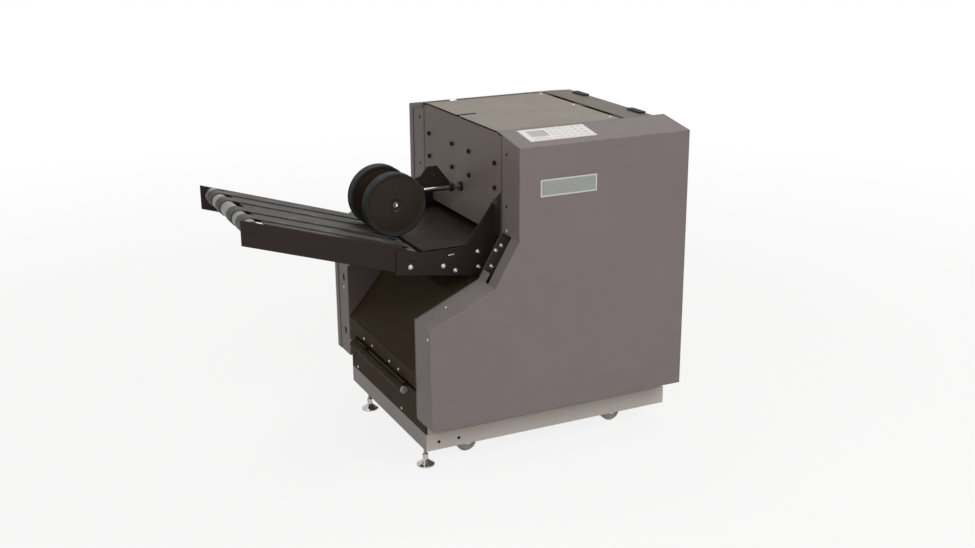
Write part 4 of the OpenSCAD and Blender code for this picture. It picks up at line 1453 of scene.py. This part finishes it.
@dataclass
class WheelUnit:
    """Press wheels with their arm, carriage and rod, and the nuts on the wheels' axle."""

    shop: Workshop
    nut_r: float = 6.2 * MM
    nut_h: float = 7.4 * MM
    nut_depth: float = 7.6 * MM
    face_h: float = 0.8 * MM
    face_share: float = 1.15
    dome_r: float = 4.9 * MM
    dome_h: float = 3.4 * MM
    dome_root: float = 1 * MM
    bolt_r: float = 6.0 * MM
    bolt_h: float = 5 * MM
    bolt_y: float = 14 * MM
    arm_end_r: float = 14 * MM
    collar_r: float = 13.5 * MM
    collar_h: float = 8.5 * MM
    collar_rim: float = 0.8 * MM
    collar_bore: float = 7.3 * MM

    def build(self) -> None:
        """Dresses the unit and makes the rod's collar, the axle nuts and the pivot's bolt."""
        low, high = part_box("press_wheels")
        middle = (low + high) / 2
        finish = TurnedDisc("wheel_turned", (0.0275, 0.0192, 0.0143), centre=(middle.x, middle.z))
        self.shop.dress(("press_wheels",), finish)
        self.shop.dress(("wheel_tyres", "wheel_arm", "wheel_carriage"))
        self.shop.dress(("slide_rod",), ThreadedChrome("rod_chrome", (0.46, 0.44, 0.41)))
        self.make_rod_collar()
        nuts = bmesh.new()
        for at in flanks((low, high), -self.nut_depth):
            join(nuts, self.acorn_nut(), at)
        self.shop.piece("axle_acorn_nuts", nuts, "zinc", "wheels")
        self.make_pivot_bolt()

    def make_rod_collar(self) -> None:
        """Makes the painted collar round the rod's foot on the end plate."""
        low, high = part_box("slide_rod")
        foot = (low + high) / 2
        foot.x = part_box("delivery_end_plate")[0].x
        r, h, rim, bore = self.collar_r, self.collar_h, self.collar_rim, self.collar_bore
        collar = lathe([(bore, 0), (r, 0), (r, h - rim), (r - rim, h), (bore, h)], hollow=True)
        collar.transform(Facing.DELIVERY.matrix(foot))
        self.shop.piece("rod_collar", collar, "dark_paint")

    def acorn_nut(self) -> Solid:
        """Hexagon nut with a washer face and a domed cap.

        Returns:
            The nut, standing on Z = 0.
        """
        solid = prism(regular(6, self.nut_r), self.face_h - SINK, self.nut_h, ROUND)
        r, base = self.dome_r, self.nut_h - SINK
        root, crown = base - self.dome_root, base + self.dome_h
        join(solid, lathe([(0, root), (r, root), *dome(r, base, self.dome_h, step=9), (0, crown)]))
        face_r = self.nut_r * self.face_share
        join(solid, lathe([(0, 0), (face_r, 0), (face_r, self.face_h), (0, self.face_h)]))
        return solid

    def make_pivot_bolt(self) -> None:
        """Makes the bolt's head on the arm's pivot, which lies in the middle of the arm's rounded end."""
        _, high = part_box("wheel_arm")
        at = Vector((high.x - self.arm_end_r, self.bolt_y, high.z - self.arm_end_r))
        bolt = screw_head(self.bolt_r, self.bolt_h, Drive.HEX)
        head = bmesh.new()
        stamp(head, bolt, Facing.OPERATOR.matrix(at))
        bpy.data.meshes.remove(bolt)
        self.shop.piece("pivot_bolt_head", head, "dark_paint", "carriage")


@dataclass
class Conveyor:
    """Delivery conveyor with its axle caps, the tray's tabs and a gusset plate's flange."""

    shop: Workshop
    painted: Names = ("conveyor_rails", "gusset_plates", "conveyor_bed", "transfer_tray")
    rollers: Names = ("drive_roller", "tail_roller")
    cap_r: float = 8.0 * MM
    cap_h: float = 2.6 * MM
    cap_rim: float = 1.0 * MM
    cap_gap: float = 0.1 * MM
    tab_at: Point = (156 * MM, 78 * MM)
    tab_size: Point = (18 * MM, 3.6 * MM)
    tab_h: float = 1.4 * MM
    tab_root: float = 0.5 * MM
    tab_corner: float = 1.2 * MM
    tab_round: float = 0.3 * MM
    flange_foot: float = -1.5 * MM
    flange_top: float = 88 * MM
    flange_rise: float = 33 * MM
    flange_w: float = 46 * MM
    flange_t: float = 2.4 * MM

    def build(self) -> None:
        """Dresses the conveyor and makes its caps, tabs and flange."""
        self.shop.dress((*self.painted, "conveyor_motor"))
        grey = PlatedSteel("roller_steel", (0.27, 0.262, 0.25), roughness=0.46, tarnish=(0.2, 0.19, 0.18))
        self.shop.dress(self.rollers, grey)
        self.shop.dress(("conveyor_belts",), BeltWeb("belt_web", (0.028, 0.026, 0.025)))
        caps = bmesh.new()
        drive, tail = (list(flanks(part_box(node))) for node in self.rollers)
        # The motor sits on the drive roller's rear end
        for at in (drive[0], *tail):
            join(caps, self.axle_cap(), at)
        self.shop.piece("axle_caps", caps, "dark_paint")
        self.make_tabs()
        self.make_flange()

    def axle_cap(self) -> Solid:
        """Low domed cap with a rim."""
        r, h, rim, foot = self.cap_r, self.cap_h, self.cap_rim, self.cap_gap
        return lathe([(0, foot), (r, foot), (r, rim), *dome(r - rim, rim, h - rim), (0, h)])

    def make_tabs(self) -> None:
        """Makes the ends of the tray's tabs, which come out through the gusset plates."""
        low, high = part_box("gusset_plates")
        half = Vector(self.tab_size) / 2
        tabs = bmesh.new()
        for at in flanks((low, high), at=(low.x + self.tab_at[0], low.z + self.tab_at[1])):
            outline = oblong(-half, half, self.tab_corner)
            join(tabs, prism(outline, -self.tab_root, self.tab_h, self.tab_round), at)
        self.shop.piece("tray_tabs", tabs, "zinc")

    def make_flange(self) -> None:
        """Makes the bent flange with which the operator's gusset plate lies on the delivery end plate."""
        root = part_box("gusset_plates")[0].y + SINK
        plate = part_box("delivery_end_plate")[0]
        edge, foot, crown = root - self.flange_w, plate.z + self.flange_foot, plate.z + self.flange_top
        outline = [(root, foot), (edge, foot), (edge, crown + self.flange_rise), (root, crown)]
        flange = prism(outline, plate.x - self.flange_t, plate.x + SINK, ROUND)
        flange.transform(ALONG_X)
        self.shop.piece("gusset_flange", flange, "dark_paint")


@dataclass
class WasteBay:
    """Chute, lip, plinth board and round bar below the conveyor."""

    shop: Workshop
    nodes: Names = ("waste_chute", "chute_lip", "plinth_board", "front_bar")

    def build(self) -> None:
        """Dresses the bay in its browner paint."""
        paint = PaintedSheet("bay_paint", (0.053, 0.036, 0.022), roughness=0.5, rub_and_highlight=0.5, shine=0.018)
        self.shop.dress(self.nodes, paint)
        self.shop.dress(("bar_caps",))


@dataclass
class BaseSet:
    """Base frame, floor pan, levelling feet and castors with their axle nuts."""

    shop: Workshop
    forks: Names = ("castor_plates", "rigid_castor_forks", "castor_fork_front", "castor_fork_rear")
    wheels: tuple[tuple[str, str], ...] = (
        ("castor_wheel_1", "castor_swivel_front"),
        ("castor_wheel_2", "castor_swivel_rear"),
        ("castor_wheel_3", "chassis"),
        ("castor_wheel_4", "chassis"),
    )
    leg_gap: float = 5.0 * MM
    nut_r: float = 6.5 * MM
    nut_h: float = 4.0 * MM
    hole_places: tuple[float, ...] = (37 * MM, 96 * MM)
    hole_z: float = 22 * MM
    shade_plug_r: float = 4.6 * MM
    shade_plug_rim: float = 0.5 * MM
    shade_plug_step: float = 0.7 * MM
    shade_plug_depth: float = 2 * MM

    def build(self) -> None:
        """Dresses the base and makes the dark plugs in its side, which stand in for the shade inside its holes,
        and the castors' axle nuts.
        """
        self.shop.dress(("floor_pan", *self.forks, *(node for node, _ in self.wheels)))
        low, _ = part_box("base_frame")
        # Painted shade: the base frame's delivery-end faces take a darker colour for the shade that falls on
        # them
        paint = PaintWithShadedEnd(
            "base_coat_painted_end_shade", BASE_COLOUR, roughness=0.42, rub_and_highlight=0.5, shaded_end_colour=(0.31, 0.275, 0.258), shaded_end_x=low.x
        )
        self.shop.dress(("base_frame",), paint)
        # Painted shade: dark plugs fill the base's two holes, where only shade would be seen inside
        shade_plugs = bmesh.new()
        for x in self.hole_places:
            at = Vector((low.x + x, low.y, low.z + self.hole_z))
            join(shade_plugs, self.shade_plug(), Facing.OPERATOR.matrix(at))
        self.shop.piece("base_hole_shade_plugs", shade_plugs, "black_plastic")
        feet = ("levelling_foot_front", "levelling_foot_rear")
        middles = [(low + high) / 2 for low, high in map(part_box, feet)]
        studs = tuple((middle.x, middle.y) for middle in middles)
        self.shop.dress(feet, ThreadedChrome("foot_chrome", (0.52, 0.505, 0.485), studs=studs))
        for node, body in self.wheels:
            nuts = bmesh.new()
            for at in flanks(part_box(node), self.leg_gap):
                join(nuts, prism(regular(6, self.nut_r), 0, self.nut_h, ROUND), at)
            self.shop.piece(f"axle_nuts_{node}", nuts, "zinc", body)

    def shade_plug(self) -> Solid:
        """Moulded black plug with a low rim, standing in for the shade inside a hole."""
        r, rim, neck, foot = self.shade_plug_r, self.shade_plug_rim, self.shade_plug_r - self.shade_plug_step, -self.shade_plug_depth
        return lathe([(0, foot), (neck, foot), (neck, 0), (r, 0), (r - rim, rim), (0, 2 * rim)])


@dataclass
class WorkUnit:
    """Stitch heads, fold rollers and knife, trim blade and the drive inside the covers."""

    shop: Workshop
    paper_path: Names = ("stitch_unit", "knife_rods", "trim_frame")
    rollers: Names = ("fold_roller_upper", "fold_roller_lower", "motor_pulley")
    blades: Names = ("fold_knife", "trim_blade")
    drive: Names = ("main_motor", "drive_belt", "control_box")

    def build(self) -> None:
        """Dresses the unit, with a duller sheet steel on the guides."""
        dull = PlatedSteel("guide_steel", (0.36, 0.352, 0.342), roughness=0.47, lay=(0.05, 1.0, 1.0))
        self.shop.dress(("sheet_guides",), dull)
        self.shop.dress((*self.paper_path, *self.rollers, *self.blades, *self.drive))


# Studio


@dataclass(frozen=True)
class Lamp:
    """A square lamp that looks at the machine."""

    name: str
    at: tuple[float, float, float]
    size: float
    power: float
    aim: tuple[float, float, float] = (0, 0, 0.5)

    def build(self) -> None:
        """Hangs the lamp."""
        data = bpy.data.lights.new(self.name, "AREA")
        data.size = self.size
        data.energy = self.power
        lamp = place_object(self.name, data)
        lamp.location = self.at
        lamp.rotation_euler = (Vector(self.aim) - Vector(self.at)).to_track_quat("-Z", "Y").to_euler()


@dataclass
class Studio:
    """Pale floor, soft lamps, white surroundings and the camera at the photograph's place."""

    lamps: tuple[Lamp, ...] = (
        Lamp("key_lamp", (1.8, -4.4, 3.8), 3.2, 128.0),
        Lamp("fill_lamp", (-3.0, -4.0, 3.4), 2.6, 84.0),
        Lamp("top_lamp", (0.4, 0.8, 4.6), 3.4, 62.0),
    )
    floor_half: float = 30.0
    floor_colour: Colour = (0.74, 0.735, 0.73)
    floor_white: float = 0.85
    near_floor: float = 1.0
    far_floor: float = 4.5
    sky: float = 0.25
    sky_colour: Colour = (1.0, 0.955, 0.905)
    white: Colour = (1.0, 1.0, 1.0)
    camera_at: tuple[float, float, float] = (-1.3839, -3.2232, 1.5801)
    azimuth: float = -25.70
    elevation: float = 17.81
    roll: float = -0.35
    lens: float = 48.0
    sensor: float = 36.0

    def build(self) -> None:
        """Makes the floor, the light and the camera."""
        self.make_floor()
        self.make_world()
        for lamp in self.lamps:
            lamp.build()
        self.make_camera()
        bpy.context.scene.view_settings.view_transform = "Standard"

    def make_floor(self) -> None:
        """Makes the floor, a shallow grid of one plane."""
        plane = bmesh.new()
        bmesh.ops.create_grid(plane, x_segments=4, y_segments=4, size=self.floor_half)
        mesh = to_mesh(plane, "studio_floor")
        mesh.materials.append(self.floor_material())
        floor = place_object("studio_floor", mesh)

    def floor_material(self) -> Material:
        """Matt pale floor that turns into the white surroundings away from the machine.

        Returns:
            The floor's material.
        """
        shade = Shade("studio_floor")
        x, y, _ = shade.axes(shade.place)
        away = shade.step((x**2 + y**2) ** 0.5, self.near_floor, self.far_floor)
        tone = shade.mottle(shade.noise(0.6, 3.0) * 0.4, self.floor_colour, 1.0, 0.97)
        matt = shade.node("ShaderNodeBsdfDiffuse", None, {"Color": tone})
        white = shade.node("ShaderNodeEmission", None, {"Strength": 1.0})
        share = (self.floor_white + (1 - self.floor_white) * away) * shade.shown()
        mixed = shade.node("ShaderNodeMixShader", None, {0: share, 1: matt.outputs[0], 2: white.outputs[0]})
        shade.node("ShaderNodeOutputMaterial", None, {"Surface": mixed.outputs[0]})
        return shade.material

    def make_world(self) -> None:
        """Makes surroundings that light softly and look white."""
        world = bpy.data.worlds.new("studio_world")
        tree = Tree(world)
        colour = tree.blend(tree.shown(), tint(self.sky_colour, self.sky), self.white)
        background = tree.node("ShaderNodeBackground", None, {"Color": colour})
        tree.node("ShaderNodeOutputWorld", None, {"Surface": background.outputs[0]})
        bpy.context.scene.world = world

    def make_camera(self) -> None:
        """Makes the camera at the photograph's viewing angle."""
        azimuth, elevation = math.radians(self.azimuth), math.radians(self.elevation)
        back = Vector((math.sin(azimuth), -math.cos(azimuth), math.tan(elevation))).normalized()
        right = Vector((math.cos(azimuth), math.sin(azimuth), 0.0))
        turn = Matrix((right, back.cross(right), back)).transposed()
        data = bpy.data.cameras.new("photo_camera")
        data.lens = self.lens
        data.sensor_width = self.sensor
        camera = place_object("photo_camera", data)
        spin = Matrix.Rotation(math.radians(self.roll), 4, "Z")
        camera.matrix_world = Matrix.Translation(self.camera_at) @ turn.to_4x4() @ spin
        bpy.context.scene.camera = camera


# One finish for each of the record's slots that a node or a piece takes
FINISHES: tuple[Finish, ...] = (
    # The covers' strong edge lightening paints a highlight along their folds
    PaintedSheet("cover_paint", (0.203, 0.173, 0.171), edge_radius=3.0 * MM, rub_and_highlight=0.9),
    PaintedSheet("lid_paint", (0.24, 0.206, 0.176), dust=0.08),
    PaintedSheet("plate_paint", (0.205, 0.164, 0.146), roughness=0.5),
    PaintedSheet("base_paint", BASE_COLOUR, roughness=0.42, rub_and_highlight=0.5),
    PaintedSheet("dark_paint", (0.026, 0.0178, 0.0155), roughness=0.44, rub_and_highlight=0.6, shine=0.13),
    PaintedSheet("frame_paint", (0.07, 0.062, 0.058), roughness=0.48),
    PlatedSteel("zinc", (0.62, 0.60, 0.57), roughness=0.34),
    PlatedSteel("bright_steel", (0.58, 0.57, 0.56), roughness=0.26, lay=(1.0, 0.05, 1.0)),
    PlatedSteel("blade_steel", (0.60, 0.61, 0.62), roughness=0.2, lay=(1.0, 1.0, 0.05)),
    Rubber("tyre_rubber", (0.021, 0.0265, 0.025), dust_share=0.07, shine=0.12),
    Rubber("belt_rubber", (0.026, 0.025, 0.024)),
    MouldedPlastic("black_plastic", (0.012, 0.012, 0.012)),
    Rubber("castor_tyre", (0.5, 0.47, 0.44), roughness=0.62),
    PrintedFilm("panel_overlay", (0.78, 0.74, 0.72)),
    DisplayGlass("display_window", (0.36, 0.345, 0.34)),
    PrintedFilm("key_film", (0.66, 0.67, 0.655)),
    PlatedSteel("badge_plate", (0.52, 0.54, 0.51), roughness=0.42, tarnish=(0.3, 0.31, 0.29)),
    CastPaint("motor_paint", (0.075, 0.08, 0.085)),
)


def main() -> None:
    """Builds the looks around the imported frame."""
    logging.basicConfig(level=logging.INFO, format="%(message)s")
    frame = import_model()
    shop = Workshop(frame, FINISHES)
    kinds = (CoverSet, LidSet, ControlPanel, WheelUnit, Conveyor, WasteBay, BaseSet, WorkUnit, Fasteners)
    for kind in kinds:
        kind(shop).build()
        LOG.info("dressed %s", kind.__name__)
    Studio().build()


if __name__ == "__main__":
    main()
